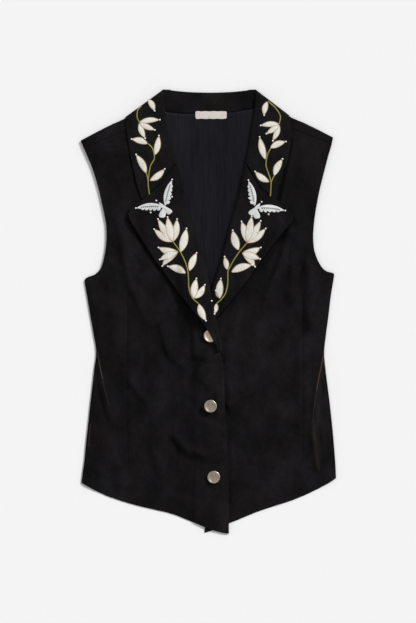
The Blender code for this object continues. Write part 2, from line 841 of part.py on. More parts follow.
def gorge_bend(gorge, shares, start, end):
    """How far the collar's end row moves to follow the gorge seam."""
    seam = along(gorge[:5], shares)
    straight = start + np.asarray(shares)[:, None] * (end - start)
    way = unit(seam[-1] - seam[0])
    away = square_to(way, True, 1) * GORGE_GAP
    bend = seam + away - straight
    bend[0] = 0.0
    return bend


def make_collar(rows, below, above):
    """The collar: stand, roll and leaf, turned round the shoulders."""
    stand_shares = spread([1.0, 1.0])
    leaf_shares = spread([0.6, 0.8, 1.0, 1.0, 1.0, 0.8, 0.6])
    stand_field = below.cover(11.0, 4.0)
    leaf_field = above.cover(11.0, 4.0)
    tangent = np.gradient(rows[:, 0:2], axis=0)
    lines = []
    for index, row in enumerate(rows):
        roll, edge, seam = row[0:2], row[2:4], row[4:6]
        facing = row[6]
        sine = math.sin(math.radians(row[7]))
        cosine = math.cos(math.radians(row[7]))
        fold = row[8] > 0.5
        if fold:
            out = unit(np.array([facing * max(cosine, 0.0), sine + max(-cosine, 0.0)]))
            past = CORNER_SPREAD * (row[7] / 90.0 - 1.0)
            roll = roll + np.array([facing * max(past, 0.0), min(past, 0.0)])
        elif cosine > 0:
            out = square_to(unit(tangent[index]), facing > 0, 0)
        else:
            out = np.array([0.0, 1.0])
        inside = roll - out * (COLLAR_WALL + COLLAR_ROLL)
        arm = np.array([-facing * sine, 0.0, cosine]) * COLLAR_ROLL
        leaf_out = square_to(unit(edge - roll), True, 1)
        stand_out = square_to(unit(roll - seam), facing < 0, 0)
        stand_top = float(below.at(stand_field, inside)) + LAY_GAP + COLLAR_WALL
        leaf_top = float(above.at(leaf_field, inside)) + LAY_GAP
        leaf_top = max(leaf_top, stand_top + 2 * COLLAR_ROLL)
        high = leaf_top - COLLAR_ROLL
        low = COLLAR_WALL + COLLAR_ROLL
        middle = (high + low) / 2 + (high - low) / 2 * cosine
        centre = np.array([inside[0], inside[1], middle])
        first = centre - arm
        last = centre + arm
        line = []
        for share in stand_shares[:-1]:
            plan = seam + share * (first[:2] - seam)
            top = float(below.at(stand_field, plan)) + LAY_GAP + COLLAR_WALL
            half = (top - STAND_LOW) / 2
            if fold:
                plan = plan - stand_out * half * (1 - abs(sine)) * (1 - share)
            height = (top + STAND_LOW) / 2 + half * cosine
            height = height * (1 - share ** 2) + first[2] * share ** 2
            line.append((plan[0], plan[1], height))
        line.append(tuple(first))
        spine = np.array([[out[0], out[1], 0.0]])
        for point in half_turn(first[None], last[None], spine, 4)[0]:
            line.append(tuple(point))
        line.append(tuple(last))
        target = edge.copy()
        if fold:
            reach = float(above.at(leaf_field, edge)) + LAY_GAP
            half = (reach - COLLAR_WALL) / 2
            target = edge - leaf_out * (COLLAR_WALL + half * (1 - abs(sine)))
        near_end = min(index, len(rows) - 1 - index)
        hold = max(0.0, 1.0 - near_end / (3.0 * FINE))
        gorge = GORGE_LEFT if facing > 0 else GORGE_RIGHT
        tip = rows[0] if facing > 0 else rows[-1]
        bend = gorge_bend(gorge, leaf_shares, tip[0:2], tip[2:4])
        for share, move in zip(leaf_shares[1:], bend[1:]):
            plan = last[:2] + share * (target - last[:2]) + hold * move
            top = float(above.at(leaf_field, plan)) + LAY_GAP
            half = (top - COLLAR_WALL) / 2
            height = (top + COLLAR_WALL) / 2 + half * cosine
            puff = math.exp(-(share * 5.0) ** 2)
            height = height * (1 - puff) + last[2] * puff
            line.append((plan[0], plan[1], height))
        lines.append(line)
    return np.array(lines)


def make_cap(name, x, y, height, material):
    """A domed snap cap with a rolled rim, turned about its own axis."""
    mesh = bpy.data.meshes.new(name)
    shape = bmesh.new()
    last = None
    for radius, up in CAP:
        point = shape.verts.new((radius * 0.001, 0.0, up * 0.001))
        if last is not None:
            shape.edges.new((last, point))
        last = point
    shape.to_mesh(mesh)
    shape.free()
    mesh.materials.append(material)
    item = bpy.data.objects.new(name, mesh)
    item.location = ((x - CENTRE[0]) * 0.001, (y - CENTRE[1]) * 0.001, height * 0.001)
    GARMENT.objects.link(item)
    turn = item.modifiers.new("turned", "SCREW")
    turn.axis = "Z"
    turn.angle = 2 * math.pi
    turn.steps = 24
    turn.render_steps = 24
    turn.use_merge_vertices = True
    turn.merge_threshold = 0.0001
    turn.use_smooth_shade = True
    return item


for item in list(bpy.data.objects):
    bpy.data.objects.remove(item, do_unlink=True)
GARMENT = bpy.data.collections.new("waistcoat")
bpy.context.scene.collection.children.link(GARMENT)

SUEDE = (0.012, 0.011, 0.012)
SATIN = (0.010, 0.010, 0.018)
METAL = (0.52, 0.47, 0.42)
CREAM = (0.70, 0.66, 0.58)

# Back, and the lining on it
under = leaf_ground()
back_grid, turned, top, way, seam = make_back(under)
plain = Ground()
plain.lay(*grid_faces(back_grid))
lining_grid = make_lining(plain)
sheet("back_lining", lining_grid, LINING_WALL, 1, cloth("satin", SATIN, 0.35))
lining_top = lining_grid + np.array([0.0, 0.0, LINING_WALL])
inner = plain.copy()
inner.lay(*grid_faces(lining_top))
full_back, keep = finish_back(back_grid, turned, top, way, seam, inner)
sheet("back", full_back, BACK_WALL, -1, cloth("back suede", SUEDE, 0.9), keep)
lips = full_back[len(back_grid) + 2:] + np.array([0.0, 0.0, BACK_WALL])
left_lip = lips[:, :5 * FINE + 1]
right_lip = lips[:, -5 * FINE - 1:]

# Right front and its lapel, below
right_leg = make_leg(LAPEL_RIGHT, LAPEL_ROWS, -1.0, inner)
ground = inner.copy()
ground.lay(*grid_faces(right_leg))
right_grid = make_front(FRONT_RIGHT, HEM_RIGHT, SEAM_R[::-1], ground, FOLDS_RIGHT, FRONT_ROWS)
right_suede = cloth("right suede", SUEDE, 0.9)
ground.lay(*evaluated(sheet("front_right", right_grid, FRONT_WALL, -1, right_suede)))
right_lapel = make_lapel(right_leg, LAPEL_RIGHT, GORGE_RIGHT, LAPEL_ROWS, -1.0, ground, BELLY)
right_lapel_suede = cloth("right lapel suede", SUEDE, 0.9)
right_leaf = evaluated(sheet("lapel_right", right_lapel, LAPEL_WALL, -1, right_lapel_suede))
for_collar = ground.copy()
ground.lay(*right_leaf)

# Left front and its lapel, on top
left_leg = make_leg(LAPEL_LEFT, LAPEL_ROWS, 1.0, ground)
ground.lay(*grid_faces(left_leg))
left_grid = make_front(FRONT_LEFT, HEM_LEFT, SEAM_L, ground, FOLDS_LEFT, FRONT_ROWS)
left_suede = cloth("left suede", SUEDE, 0.9)
left_top = evaluated(sheet("front_left", left_grid, FRONT_WALL, 1, left_suede))
ground.lay(*left_top)
for_collar.lay(*left_top)

# Snap caps
for name, (x, y) in zip(("snap_1", "snap_2", "snap_3"), SNAPS):
    ring = []
    for turn in np.linspace(0.0, 2 * math.pi, 24, endpoint=False):
        for radius in (0.0, 0.5 * CAP_RADIUS, CAP_RADIUS):
            ring.append((x + radius * math.cos(turn), y + radius * math.sin(turn)))
    seat = float(ground.at(ground.cover(RASTER, 0.0), np.array(ring)).max()) + SEAM_GAP
    cap = make_cap(name, x, y, seat, cloth(name + " metal", METAL, 0.3))
    if name == "snap_1":
        points, faces = evaluated(cap)
        ground.lay(points + np.array([x - CENTRE[0], y - CENTRE[1], seat]), faces)
left_lapel = make_lapel(left_leg, LAPEL_LEFT, GORGE_LEFT, LAPEL_ROWS, 1.0, ground, BELLY)
sheet("lapel_left", left_lapel, LAPEL_WALL, 1, cloth("left lapel suede", SUEDE, 0.9))

# Collar
rows = collar_rows()
inner.lay(*grid_faces(back_stand(rows)))
for_collar.lay(*grid_faces(left_lip))
for_collar.lay(*grid_faces(right_lip))
for stand in make_stand_front(rows, inner):
    for_collar.lay(*grid_faces(stand))
collar_grid = make_collar(rows, inner, for_collar)
sheet("collar", collar_grid, COLLAR_WALL, -1, cloth("collar suede", SUEDE, 0.9))

# Label over the neck seam
x0, y0, x1, y1 = LABEL_BOX
across, up = np.meshgrid(np.linspace(x0, x1, 10), np.linspace(y0, y1, 5))
label_plan = np.stack([across, up], axis=-1)
band = inner.copy()
band.lay(*grid_faces(collar_grid[12 * FINE:-12 * FINE, :3] + np.array([0.0, 0.0, COLLAR_WALL])))
label_grid = with_height(label_plan, laid(band, label_plan, 6.0, 4.0))
sheet("label", label_grid, LABEL_WALL, 1, cloth("woven cream", CREAM, 0.8))
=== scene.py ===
"""The looks of a sleeveless fitted waistcoat laid flat, face up.

Each cloth piece is laid again in finer cells over the same sections as its solid, with
its creases, its weave or nap, its stitching and its embroidery. Left and right are those
of someone who looks down on it. Sizes are in millimetres until a mesh is made.
"""

import math

import bmesh
import bpy
import numpy as np
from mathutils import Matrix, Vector


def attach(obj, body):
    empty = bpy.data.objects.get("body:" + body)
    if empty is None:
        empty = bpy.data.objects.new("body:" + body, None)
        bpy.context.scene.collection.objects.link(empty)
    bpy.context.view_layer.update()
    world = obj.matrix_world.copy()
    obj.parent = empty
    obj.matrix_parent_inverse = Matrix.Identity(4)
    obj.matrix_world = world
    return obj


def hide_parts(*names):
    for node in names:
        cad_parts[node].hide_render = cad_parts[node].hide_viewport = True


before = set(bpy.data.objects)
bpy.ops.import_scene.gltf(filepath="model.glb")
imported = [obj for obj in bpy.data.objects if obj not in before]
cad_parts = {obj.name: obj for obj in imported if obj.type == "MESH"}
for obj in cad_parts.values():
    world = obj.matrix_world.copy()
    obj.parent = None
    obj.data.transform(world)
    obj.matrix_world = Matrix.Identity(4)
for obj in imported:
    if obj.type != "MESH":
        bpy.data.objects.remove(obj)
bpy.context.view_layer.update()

# Where the middle of the garment's box lies in the tables, and a millimetre in metres
CENTRE = (0.4, -0.15)
MILLI = 0.001

# Walls of the cloth
BACK_WALL = 1.2
LINING_WALL = 1.1
FRONT_WALL = 1.3
LAPEL_WALL = 1.3
COLLAR_WALL = 1.3
LABEL_WALL = 1.0

# Gaps at seams and between what lies on each other
SEAM_GAP = 0.3
LAY_GAP = 0.4
GORGE_GAP = 0.9
SEAM_SHORT = 0.35

# The height field: its cells, its half sizes, and the least area and slack of a triangle
RASTER = 2.0
HALF_X = 220.0
HALF_Y = 372.0
TINY = 1e-9
SLACK = 1e-6

# How far round a spot a sheet heeds what lies below, and how softly
REACH = 9.0
SOFT = 6.0
LEAF_COVER = (11.0, 4.0)

# Rows and columns: FINE cells for each step of the solids' grids
FINE = 6
BACK_ROWS = 27
LINING_ROWS = 24
FRONT_ROWS = 44
LAPEL_ROWS = 17
COLLAR_SIDE_ROWS = 9
COLLAR_BACK_ROWS = 15
LIP_CELLS = 5 * FINE
NECK_CELLS = 8 * FINE
ROLL_CELLS = 4

# Widths of a front's columns from its side to its edge, and of a collar leaf's from its roll
FRONT_PARTS = [0.35, 0.9] + [1.0] * 8 + [0.9, 0.6, 0.5]
LEAF_PARTS = [0.6, 0.8, 1.0, 1.0, 1.0, 0.8, 0.6]

# Back and lining: the rows of the top line where the neck starts and ends, how much the
# back clears the collar below it, and how the shoulders turn
NECK_FIRST = 5
NECK_LAST = 13
OVER_LEAF = 1.35
LIP_RISE = 1.2
SHOULDER_OUT = 2.2
LINING_INSET = 6.5
LINING_DROP = 6.0

# Fronts: air below, how far in from the rim it fades, and where the side seams pin them
AIR = 2.0
FADE = 26.0
SIDE_TOP = 70.0
SIDE_LOW = -300.0
SIDE_FADE = 20.0
CREASE_GAIN = 1.6
CREASE_SPREAD = 1.4
PUCKER_DROP = 3.2
PUCKER_WIDTH = 1.6

# Lapels: the leg inside the front, the roll, the swell, and how the edge and end are shaped
LEG_WIDTH = 12.0
ROLL_RADIUS = 1.3
ROLL_STEP = 1.4
BELLY = 1.6
CURL_LEFT = 3.3
CURL_RIGHT = 2.6
LIFT_START = 0.45
NARROW_START = 0.93
NARROW_PART = 0.85

# Collar: the roll, the turn at its corners and the underside of the stand
COLLAR_ROLL = 0.9
CORNER_SPREAD = 10.0
STAND_LOW = 2.1

# Label, and the flat seat below a snap cap
LABEL_BOX = (-21.6, 307.6, 30.1, 320.4)
CAP_RADIUS = 10.3
CAP_FLAT = 13.0
CAP_FADE = 14.0

# Embroidery: heights, radii, and the width from which a wing without lobes is a blunt tail
LEAF_RISE = 0.75
TAIL_WIDTH = 8.0
EDGE_RADIUS = 0.5
STEM_RADIUS = 0.95
BEAD_RADIUS = 1.45
BEAD_PAST_TIP = 0.6

# Light and camera, in metres
SKY = 0.52
SUN = 2.55
SUN_WAY = (-0.78, -0.76, -0.95)
CAMERA_LENS = 108.5
CAMERA_PLACE = (-0.0009, 0.0003, 3.006)

# Colours of the cloth and the metal, each pair or three from dark to light
# Painted highlight: a light brown tint along folds where the nap catches the light
PAINTED_SHEEN = (0.17, 0.125, 0.095)
# Painted shade: near black beside the lapel and collar edges
PAINTED_SHADE = (0.0007, 0.0007, 0.0008)
STITCHED = (0.002, 0.002, 0.002)
WHITE = (1.0, 1.0, 1.0)
NAP_SMOOTH = ((0.0036, 0.0031, 0.0036), (0.0104, 0.0093, 0.0105))
NAP_BRUSHED = ((0.0048, 0.0043, 0.0049), (0.0158, 0.0142, 0.0162))
NAP_WARM = ((0.0050, 0.0040, 0.0039), (0.0125, 0.0104, 0.0100))
CHAMPAGNE = ((0.40, 0.315, 0.235), (0.60, 0.51, 0.42), (0.62, 0.57, 0.52))

# A snap cap's profile, turned about its axis: a shallow dish inside a rounded rim
CAP = (
    # radius, height
    (0.0, 2.45),
    (4.0, 2.5),
    (7.0, 2.75),
    (8.2, 3.05),
    (9.0, 3.2),
    (9.7, 2.95),
    (10.2, 2.2),
    (10.3, 1.2),
    (10.0, 0.4),
    (9.3, 0.0),
    (0.0, 0.0),
)

# Where the shoulder seams lie, outer end and neck end
SEAM_L = ((-199.8, 262.8), (-90.4, 305.4))
SEAM_R = ((95.2, 305.4), (197.4, 268.0))


# Sections and outlines of the panels, all seen from above: a row for each line across
FRONT_LEFT = (
    # outer x, outer y, inner x, inner y
    (-202.7, -274, 32.8, -355.3),
    (-200.2, -254, 32.8, -334),
    (-197.9, -238, 32.5, -302),
    (-195.2, -209.2, 31.8, -270),
    (-192, -180.4, 30.7, -238),
    (-189, -151.6, 28.8, -202.8),
    (-185.6, -122.8, 27.2, -166),
    (-182.4, -94, 25.6, -126),
    (-179, -65.2, 23, -87.6),
    (-183.2, -36.4, 17.3, -62),
    (-188.3, -7.6, 12.3, -33.2),
    (-193, 21.2, 7.7, -4.4),
    (-197.6, 50, 0.5, 22.8),
    (-181, 59.6, -3.5, 43.6),
    (-171.8, 69.2, -7.8, 62.8),
    (-166.2, 88.4, -15.2, 88.4),
    (-163.4, 107.6, -21.1, 109.2),
    (-162.7, 122, -26.9, 126.8),
    (-163.2, 136.4, -30.9, 142.8),
    (-166.4, 155.6, -36, 165.2),
    (-170.6, 174.8, -41.4, 189.2),
    (-174.9, 194, -46.9, 210),
    (-180.3, 213.2, -53.6, 232.4),
    (-186.6, 232.4, -65.6, 249.2),
    (-192.8, 246.8, -77.6, 266.8),
    (-197.1, 257.2, -86.2, 286.8),
    (-199.8, 262.8, -90.4, 305.4),
)
HEM_LEFT = (
    # x, y
    (-202.7, -274),
    (-181.6, -285.8),
    (-162.4, -295),
    (-143.2, -301.8),
    (-124, -307.6),
    (-104.8, -312.6),
    (-85.6, -317),
    (-66.4, -321.2),
    (-52, -325.7),
    (-37.6, -331.6),
    (-18.4, -339.4),
    (7.2, -349.8),
    (23.2, -354),
    (32.8, -355.3),
)
FRONT_RIGHT = (
    # outer x, outer y, inner x, inner y
    (204, -266.5, -5.6, -353.7),
    (203.2, -247.6, -6.2, -330.8),
    (201.6, -225.2, -6.4, -302),
    (199.5, -199.6, -6.4, -270),
    (197, -174, -6.4, -238),
    (194.4, -150, -6.4, -202.8),
    (191, -122.8, -6.4, -166),
    (187.4, -94, -6.7, -126),
    (185, -66.8, -7.2, -87.6),
    (188, -36.4, -6.6, -62),
    (191.8, -7.6, -4.3, -33.2),
    (195.4, 22.8, -0.8, -4.4),
    (201.1, 59.6, 4.3, 22.8),
    (189.9, 64.1, 11.4, 45.2),
    (183, 69.2, 17.8, 64.4),
    (173.1, 86.8, 24.3, 86.8),
    (168.8, 102.8, 30.7, 109.2),
    (167.7, 120.4, 35.7, 128.4),
    (168.6, 136.4, 40.5, 146),
    (170.9, 155.6, 46.1, 168.4),
    (174.1, 174.8, 51.4, 190.8),
    (177.9, 194, 57.1, 213.2),
    (182.6, 213.2, 63.5, 233.2),
    (187.5, 232.4, 73.8, 250),
    (191.2, 246.8, 84.3, 267.6),
    (195, 259.6, 91.7, 288.4),
    (197.4, 267.9, 95.2, 305.4),
)
HEM_RIGHT = (
    # x, y
    (204, -266.5),
    (192.8, -273.8),
    (173.6, -284.4),
    (154.4, -293.7),
    (135.2, -301.7),
    (116, -307.9),
    (96.8, -314),
    (77.6, -320.6),
    (58.4, -328.4),
    (45.6, -334),
    (34.1, -338.3),
    (13.6, -347.1),
    (2.4, -351.6),
    (-5.6, -353.7),
)
LAPEL_LEFT = (
    # roll x, roll y, edge x, edge y
    (-50.4, 235.6, -126.4, 147.6),
    (-44, 213.2, -108, 117.2),
    (-36, 179.6, -87.2, 85.2),
    (-28, 144.4, -66.4, 56.4),
    (-17.4, 107.6, -44, 26),
    (-5.6, 67.6, -21.6, -2.8),
    (3.4, 29.2, -4, -25.2),
    (11.4, -7.6, 5.9, -42.8),
    (18.2, -62, 13.9, -59.6),
)
GORGE_LEFT = (
    # x, y
    (-50.4, 235.6),
    (-63.2, 221.2),
    (-76, 203.6),
    (-90.4, 190.8),
    (-105.6, 178),
    (-119.2, 171.6),
    (-125.6, 163.6),
    (-127.5, 154.8),
    (-126.4, 147.6),
)
LAPEL_RIGHT = (
    # roll x, roll y, edge x, edge y
    (58.9, 235.6, 135.2, 146),
    (53.6, 214.8, 122.4, 130),
    (46.6, 184.4, 104.8, 109.2),
    (38.2, 150.8, 85.6, 83.6),
    (28, 114, 64.8, 53.2),
    (19.2, 78.8, 47.2, 30.8),
    (5.3, 37.2, 28, 6.8),
    (-3.4, 2, 12, -10.8),
    (-7.2, -30, 0.8, -30),
    (-8.8, -58.8, -4.6, -56.4),
)
GORGE_RIGHT = (
    # x, y
    (58.9, 235.6),
    (64.8, 226),
    (71.2, 214.8),
    (84, 195.6),
    (95.2, 186),
    (111.2, 176.4),
    (125.6, 163.6),
    (134.4, 154.8),
    (135.2, 146),
)
COLLAR_LEFT = (
    # roll x, roll y, edge x, edge y, seam x, seam y
    (-49.9, 236.6, -105.3, 179.1, -57.1, 241.5),
    (-54.2, 250, -113.9, 203.6, -67, 253.2),
    (-58.9, 266, -119.2, 226, -77, 268.4),
    (-63.2, 283.6, -124, 248.4, -84.6, 286),
    (-66.7, 302.8, -127.8, 269.2, -88.5, 303.6),
    (-69.3, 322, -130.4, 288.4, -89.1, 317.2),
    (-69.9, 338, -132, 302, -89.1, 325.2),
)
COLLAR_BACK = (
    # roll x, roll y, edge x, edge y, seam x, seam y
    (-72, 355.1, -133.1, 310.8, -88.8, 331.3),
    (-60, 354, -108, 299.6, -78.4, 324.9),
    (-47.2, 352.6, -85.6, 294.8, -64, 319.5),
    (-28, 351.1, -47.2, 296.4, -37.6, 317.3),
    (1.6, 350.3, 1.6, 298, 2.4, 316.9),
    (32.8, 351.1, 52, 298, 42.4, 320.1),
    (52, 352.7, 90.4, 298.8, 68.8, 324.9),
    (63.2, 354, 108, 302.8, 82.4, 329.4),
    (75.4, 355, 129.9, 313.5, 92.3, 331.6),
)
COLLAR_RIGHT = (
    # roll x, roll y, edge x, edge y, seam x, seam y
    (74.4, 340.4, 130.2, 305.2, 93, 326),
    (73.6, 325.2, 131.7, 293.2, 93, 317.2),
    (70.1, 304.4, 131.7, 272.4, 92.6, 303.6),
    (67, 283.6, 128.8, 250.8, 90.1, 287.6),
    (63.8, 262.8, 123.7, 230.8, 82.2, 269.2),
    (61.4, 249.2, 120, 210, 72.5, 254),
    (58.6, 236.9, 112.2, 177.7, 65.1, 242),
)
BACK = (
    # left x, left y, right x, right y
    (-201.4, -270.8, 202.9, -264.1),
    (-198.9, -250.8, 202.4, -244.4),
    (-197, -234.8, 200.8, -222),
    (-194.2, -207.6, 198.6, -198),
    (-191, -178.8, 196, -172.4),
    (-188, -150, 193.4, -148.4),
    (-184.6, -121.2, 190.1, -121.2),
    (-181.4, -92.4, 186.4, -92.4),
    (-178.1, -65.2, 184, -66.8),
    (-182.2, -36.4, 187, -36.4),
    (-187.4, -7.6, 190.9, -7.6),
    (-192, 21.2, 194.4, 22.8),
    (-196.3, 49.2, 199.8, 58.6),
    (-180, 58, 189.3, 63),
    (-170.7, 67.6, 182.1, 67.6),
    (-165.1, 87.6, 172, 86.8),
    (-162.4, 107.6, 167.8, 102.8),
    (-161.8, 122, 166.7, 120.4),
    (-162.2, 136.4, 167.7, 136.4),
    (-165.4, 155.6, 169.9, 155.6),
    (-169.6, 174.8, 173.1, 174.8),
    (-173.9, 194, 177, 194),
    (-179.4, 213.2, 181.6, 213.2),
    (-185.6, 232.4, 186.6, 232.4),
    (-194.1, 251.6, 191.8, 251.6),
    (-199.5, 262.8, 196.3, 265.7),
    (-202.9, 270.5, 198.7, 275.3),
)
BACK_TOP = (
    # x, y
    (-202.9, 270.5),
    (-178.4, 283),
    (-156, 294.2),
    (-132.8, 305.8),
    (-111.2, 317.4),
    (-90.9, 327.9),
    (-78.4, 323.3),
    (-64, 318),
    (-37.6, 315.8),
    (2.4, 315.4),
    (42.4, 318.6),
    (68.8, 323.4),
    (82.4, 327),
    (94.6, 328.1),
    (109.6, 319.8),
    (129.9, 308.6),
    (152.8, 297.7),
    (176.8, 286.2),
    (198.7, 275.3),
)
SNAPS = (
    # x, y
    (2.9, -38.5),
    (3.5, -150.6),
    (8.6, -264.2),
)
FOLDS_LEFT = (
    # from x, from y, to x, to y, width, height
    (-141.6, 138, -128.8, 59.6, 8, 3),
    (-128.8, 59.6, -93.6, -23.6, 9, 3),
    (-93.6, -23.6, -42.4, 14.8, 9, 2.6),
    (-112.8, 40.4, -93.6, 21.2, 9, -1.6),
    (-63.2, -63.6, -13.6, -65.2, 12, 2.6),
    (-84, -30, -71.2, -78, 9, -2.4),
    (-71.2, -78, -32.8, -106.8, 9, -2.4),
    (-32.8, -106.8, -4, -129.2, 8, -2.2),
    (-119.2, -84.4, -90.4, -129.2, 9, -2),
    (-125.6, -110, -103.2, -142, 8, 2.2),
    (-52, -199.6, -32.8, -222, 8, 3),
    (-32.8, -222, -7.2, -226.8, 8, 3.2),
    (-7.2, -226.8, 23.2, -217.2, 8, 2.6),
    (-58.4, -212.4, -39.2, -239.6, 8, -2.2),
    (-39.2, -239.6, -7.2, -249.2, 8, -2.4),
    (-93.6, -199.6, -77.6, -257.2, 9, 2.4),
    (-176, -66.8, -173.6, -89.2, 7, 2.6),
    (-173.6, -89.2, -164, -137.2, 7, 3),
    (-164, -137.2, -156, -174, 8, 2.2),
    (-152.8, 18, -144.8, -65.2, 10, 1.8),
    (-108, 154, -76, 78.8, 11, -1.5),
    (-140, -190, -128.8, -254, 10, -1.4),
)
FOLDS_RIGHT = (
    # from x, from y, to x, to y, width, height
    (108, -58.8, 76, -97.2, 9, -2.4),
    (101.6, -106.8, 53.6, -135.6, 9, 3),
    (53.6, -135.6, 31.2, -148.4, 8, 2.6),
    (31.2, -167.6, 56.8, -183.6, 9, -2),
    (92, -177.2, 133.6, -186.8, 9, -2),
    (108, -202.8, 72.8, -234.8, 9, 2.6),
    (128.8, 126.8, 116, 82, 9, 2.8),
    (116, 82, 95.2, 26, 9, 2.8),
    (133.6, 98, 133.6, 18, 8, 1.8),
    (157.6, 77.2, 160.8, -22, 8, 2.2),
    (182.9, -73.2, 175.2, -121.2, 7, 2.8),
    (175.2, -121.2, 172, -169.2, 7, 2.6),
    (172, -169.2, 165.6, -194.8, 7, 2.6),
    (165.6, -194.8, 172, -217.2, 7, 2.6),
    (172, -217.2, 175.2, -247.6, 7, 2),
    (69.6, 18, 39.2, -23.6, 8, 2),
    (146.4, -54, 149.6, -142, 10, 1.6),
    (87.2, -14, 124, -46, 10, -1.6),
)


def smooth_step(value):
    """Runs from 0 to 1 without a corner."""
    value = np.clip(value, 0.0, 1.0)
    return value * value * (3.0 - 2.0 * value)


def through(table, count):
    """Points of a table's rows at even steps, along a curve that never overshoots."""
    rows = np.array(table, float)
    step = np.diff(rows, axis=0)
    slope = np.zeros_like(rows)
    same = step[:-1] * step[1:] > 0
    total = np.where(same, step[:-1] + step[1:], 1.0)
    slope[1:-1] = np.where(same, 2.0 * step[:-1] * step[1:] / total, 0.0)
    slope[0] = step[0]
    slope[-1] = step[-1]
    at = np.linspace(0.0, len(rows) - 1.0, count)
    low = np.minimum(at.astype(int), len(rows) - 2)
    part = (at - low)[:, None]
    first = rows[low]
    last = rows[low + 1]
    swing = slope[low]
    settle = slope[low + 1]
    square = part * part
    cube = square * part
    return (
        (2 * cube - 3 * square + 1) * first
        + (cube - 2 * square + part) * swing
        + (3 * square - 2 * cube) * last
        + (cube - square) * settle
    )


def run(points):
    """How far along a line each of its points lies."""
    return np.concatenate([[0.0], np.cumsum(np.hypot(*np.diff(points, axis=0).T))])


def along(table, shares):
    """Points on the line through a table's x and y, at shares of its length."""
    points = np.array(table, float)
    length = run(points)
    at = np.asarray(shares) * length[-1]
    return np.stack([np.interp(at, length, points[:, k]) for k in range(2)], axis=1)


def patch(first, last, start, end, shares):
    """A grid of plan points between two side lines and two end lines."""
    count = len(first)
    down = np.linspace(0.0, 1.0, count)[:, None, None]
    over = np.asarray(shares)[None, :, None]
    sides = (1 - over) * first[:, None, :] + over * last[:, None, :]
    straight_start = (1 - over[0]) * first[0] + over[0] * last[0]
    straight_end = (1 - over[0]) * first[-1] + over[0] * last[-1]
    near_start = np.clip(1.0 - down * 3.0, 0.0, 1.0) ** 1.5
    near_end = np.clip(1.0 - (1.0 - down) * 4.0, 0.0, 1.0)
    grid = sides + near_start * (start - straight_start)[None]
    return grid + near_end * (end - straight_end)[None]


def moved(field, axis, step):
    """The field moved by whole cells along an axis, with its edge values repeated."""
    index = np.clip(np.arange(field.shape[axis]) + step, 0, field.shape[axis] - 1)
    return np.take(field, index, axis=axis)


class Ground:
    """The height of all that has been laid so far, over a plan grid."""

    def __init__(self):
        self.x = np.arange(-HALF_X, HALF_X + RASTER, RASTER)
        self.y = np.arange(-HALF_Y, HALF_Y + RASTER, RASTER)
        self.top = np.zeros((len(self.y), len(self.x)))

    def copy(self):
        """The same heights, kept apart."""
        other = Ground()
        other.top = self.top.copy()
        return other

    def lay(self, points, faces):
        """Raises the heights to the tops of a piece's triangles."""
        for face in faces:
            a, b, c = points[face]
            low = np.minimum(np.minimum(a, b), c)
            high = np.maximum(np.maximum(a, b), c)
            i0 = max(int((low[0] + HALF_X) / RASTER) - 1, 0)
            i1 = min(int((high[0] + HALF_X) / RASTER) + 2, len(self.x))
            j0 = max(int((low[1] + HALF_Y) / RASTER) - 1, 0)
            j1 = min(int((high[1] + HALF_Y) / RASTER) + 2, len(self.y))
            ab = b[:2] - a[:2]
            ac = c[:2] - a[:2]
            area = ab[0] * ac[1] - ab[1] * ac[0]
            if abs(area) < TINY or i1 <= i0 or j1 <= j0:
                continue
            px = self.x[None, i0:i1] - a[0]
            py = self.y[j0:j1, None] - a[1]
            v = (px * ac[1] - py * ac[0]) / area
            w = (ab[0] * py - ab[1] * px) / area
            inside = (v >= -SLACK) & (w >= -SLACK) & (v + w <= 1 + SLACK)
            height = a[2] + v * (b[2] - a[2]) + w * (c[2] - a[2])
            window = self.top[j0:j1, i0:i1]
            window[inside] = np.maximum(window[inside], height[inside])

    def cover(self, reach, soft):
        """A soft field that is nowhere below the tops within reach of a point."""
        field = self.top
        cells = int(math.ceil((reach + soft) / RASTER))
        for axis in range(2):
            near = [moved(field, axis, step) for step in range(-cells, cells + 1)]
            field = np.maximum.reduce(near)
        half = int(soft / RASTER / 2)
        for axis in (0, 1, 0, 1):
            near = [moved(field, axis, step) for step in range(-half, half + 1)]
            field = sum(near) / len(near)
        return field

    def at(self, field, plan):
        """A field's values at plan points."""
        fx = (plan[..., 0] + HALF_X) / RASTER
        fy = (plan[..., 1] + HALF_Y) / RASTER
        i = np.clip(fx.astype(int), 0, len(self.x) - 2)
        j = np.clip(fy.astype(int), 0, len(self.y) - 2)
        u = np.clip(fx - i, 0, 1)
        v = np.clip(fy - j, 0, 1)
        low = field[j, i] * (1 - u) + field[j, i + 1] * u
        high = field[j + 1, i] * (1 - u) + field[j + 1, i + 1] * u
        return low * (1 - v) + high * v


def from_line(plan, x0, y0, x1, y1):
    """How far plan points lie from a straight line between two points."""
    across = np.array([x1 - x0, y1 - y0])
    size = max(across @ across, 1e-9)
    rest = plan - np.array([x0, y0])
    share = np.clip((rest @ across) / size, 0, 1)
    return np.linalg.norm(rest - share[..., None] * across, axis=-1)


def outline(grid):
    """The plan points round a grid."""
    rim = [grid[0], grid[-1], grid[:, 0], grid[:, -1]]
    return np.concatenate(rim)[:, :2]


def spread(parts):
    """Shares from 0 to 1 with the given parts as steps, made finer by FINE."""
    steps = np.repeat(np.array(parts, float) / FINE, FINE)
    return np.concatenate([[0.0], np.cumsum(steps) / np.sum(steps)])


def lift(cover):
    """The gap kept above what is covered, and none above the bare surface."""
    return LAY_GAP * np.clip(cover / BACK_WALL, 0.0, 1.0)


def laid(ground, plan, reach, soft):
    """How high the underside of a sheet lies at plan points."""
    cover = ground.at(ground.cover(reach, soft), plan)
    return cover + lift(cover)


def with_height(plan, height):
    """Plan points with their heights."""
    return np.concatenate([plan, height[..., None]], axis=-1)


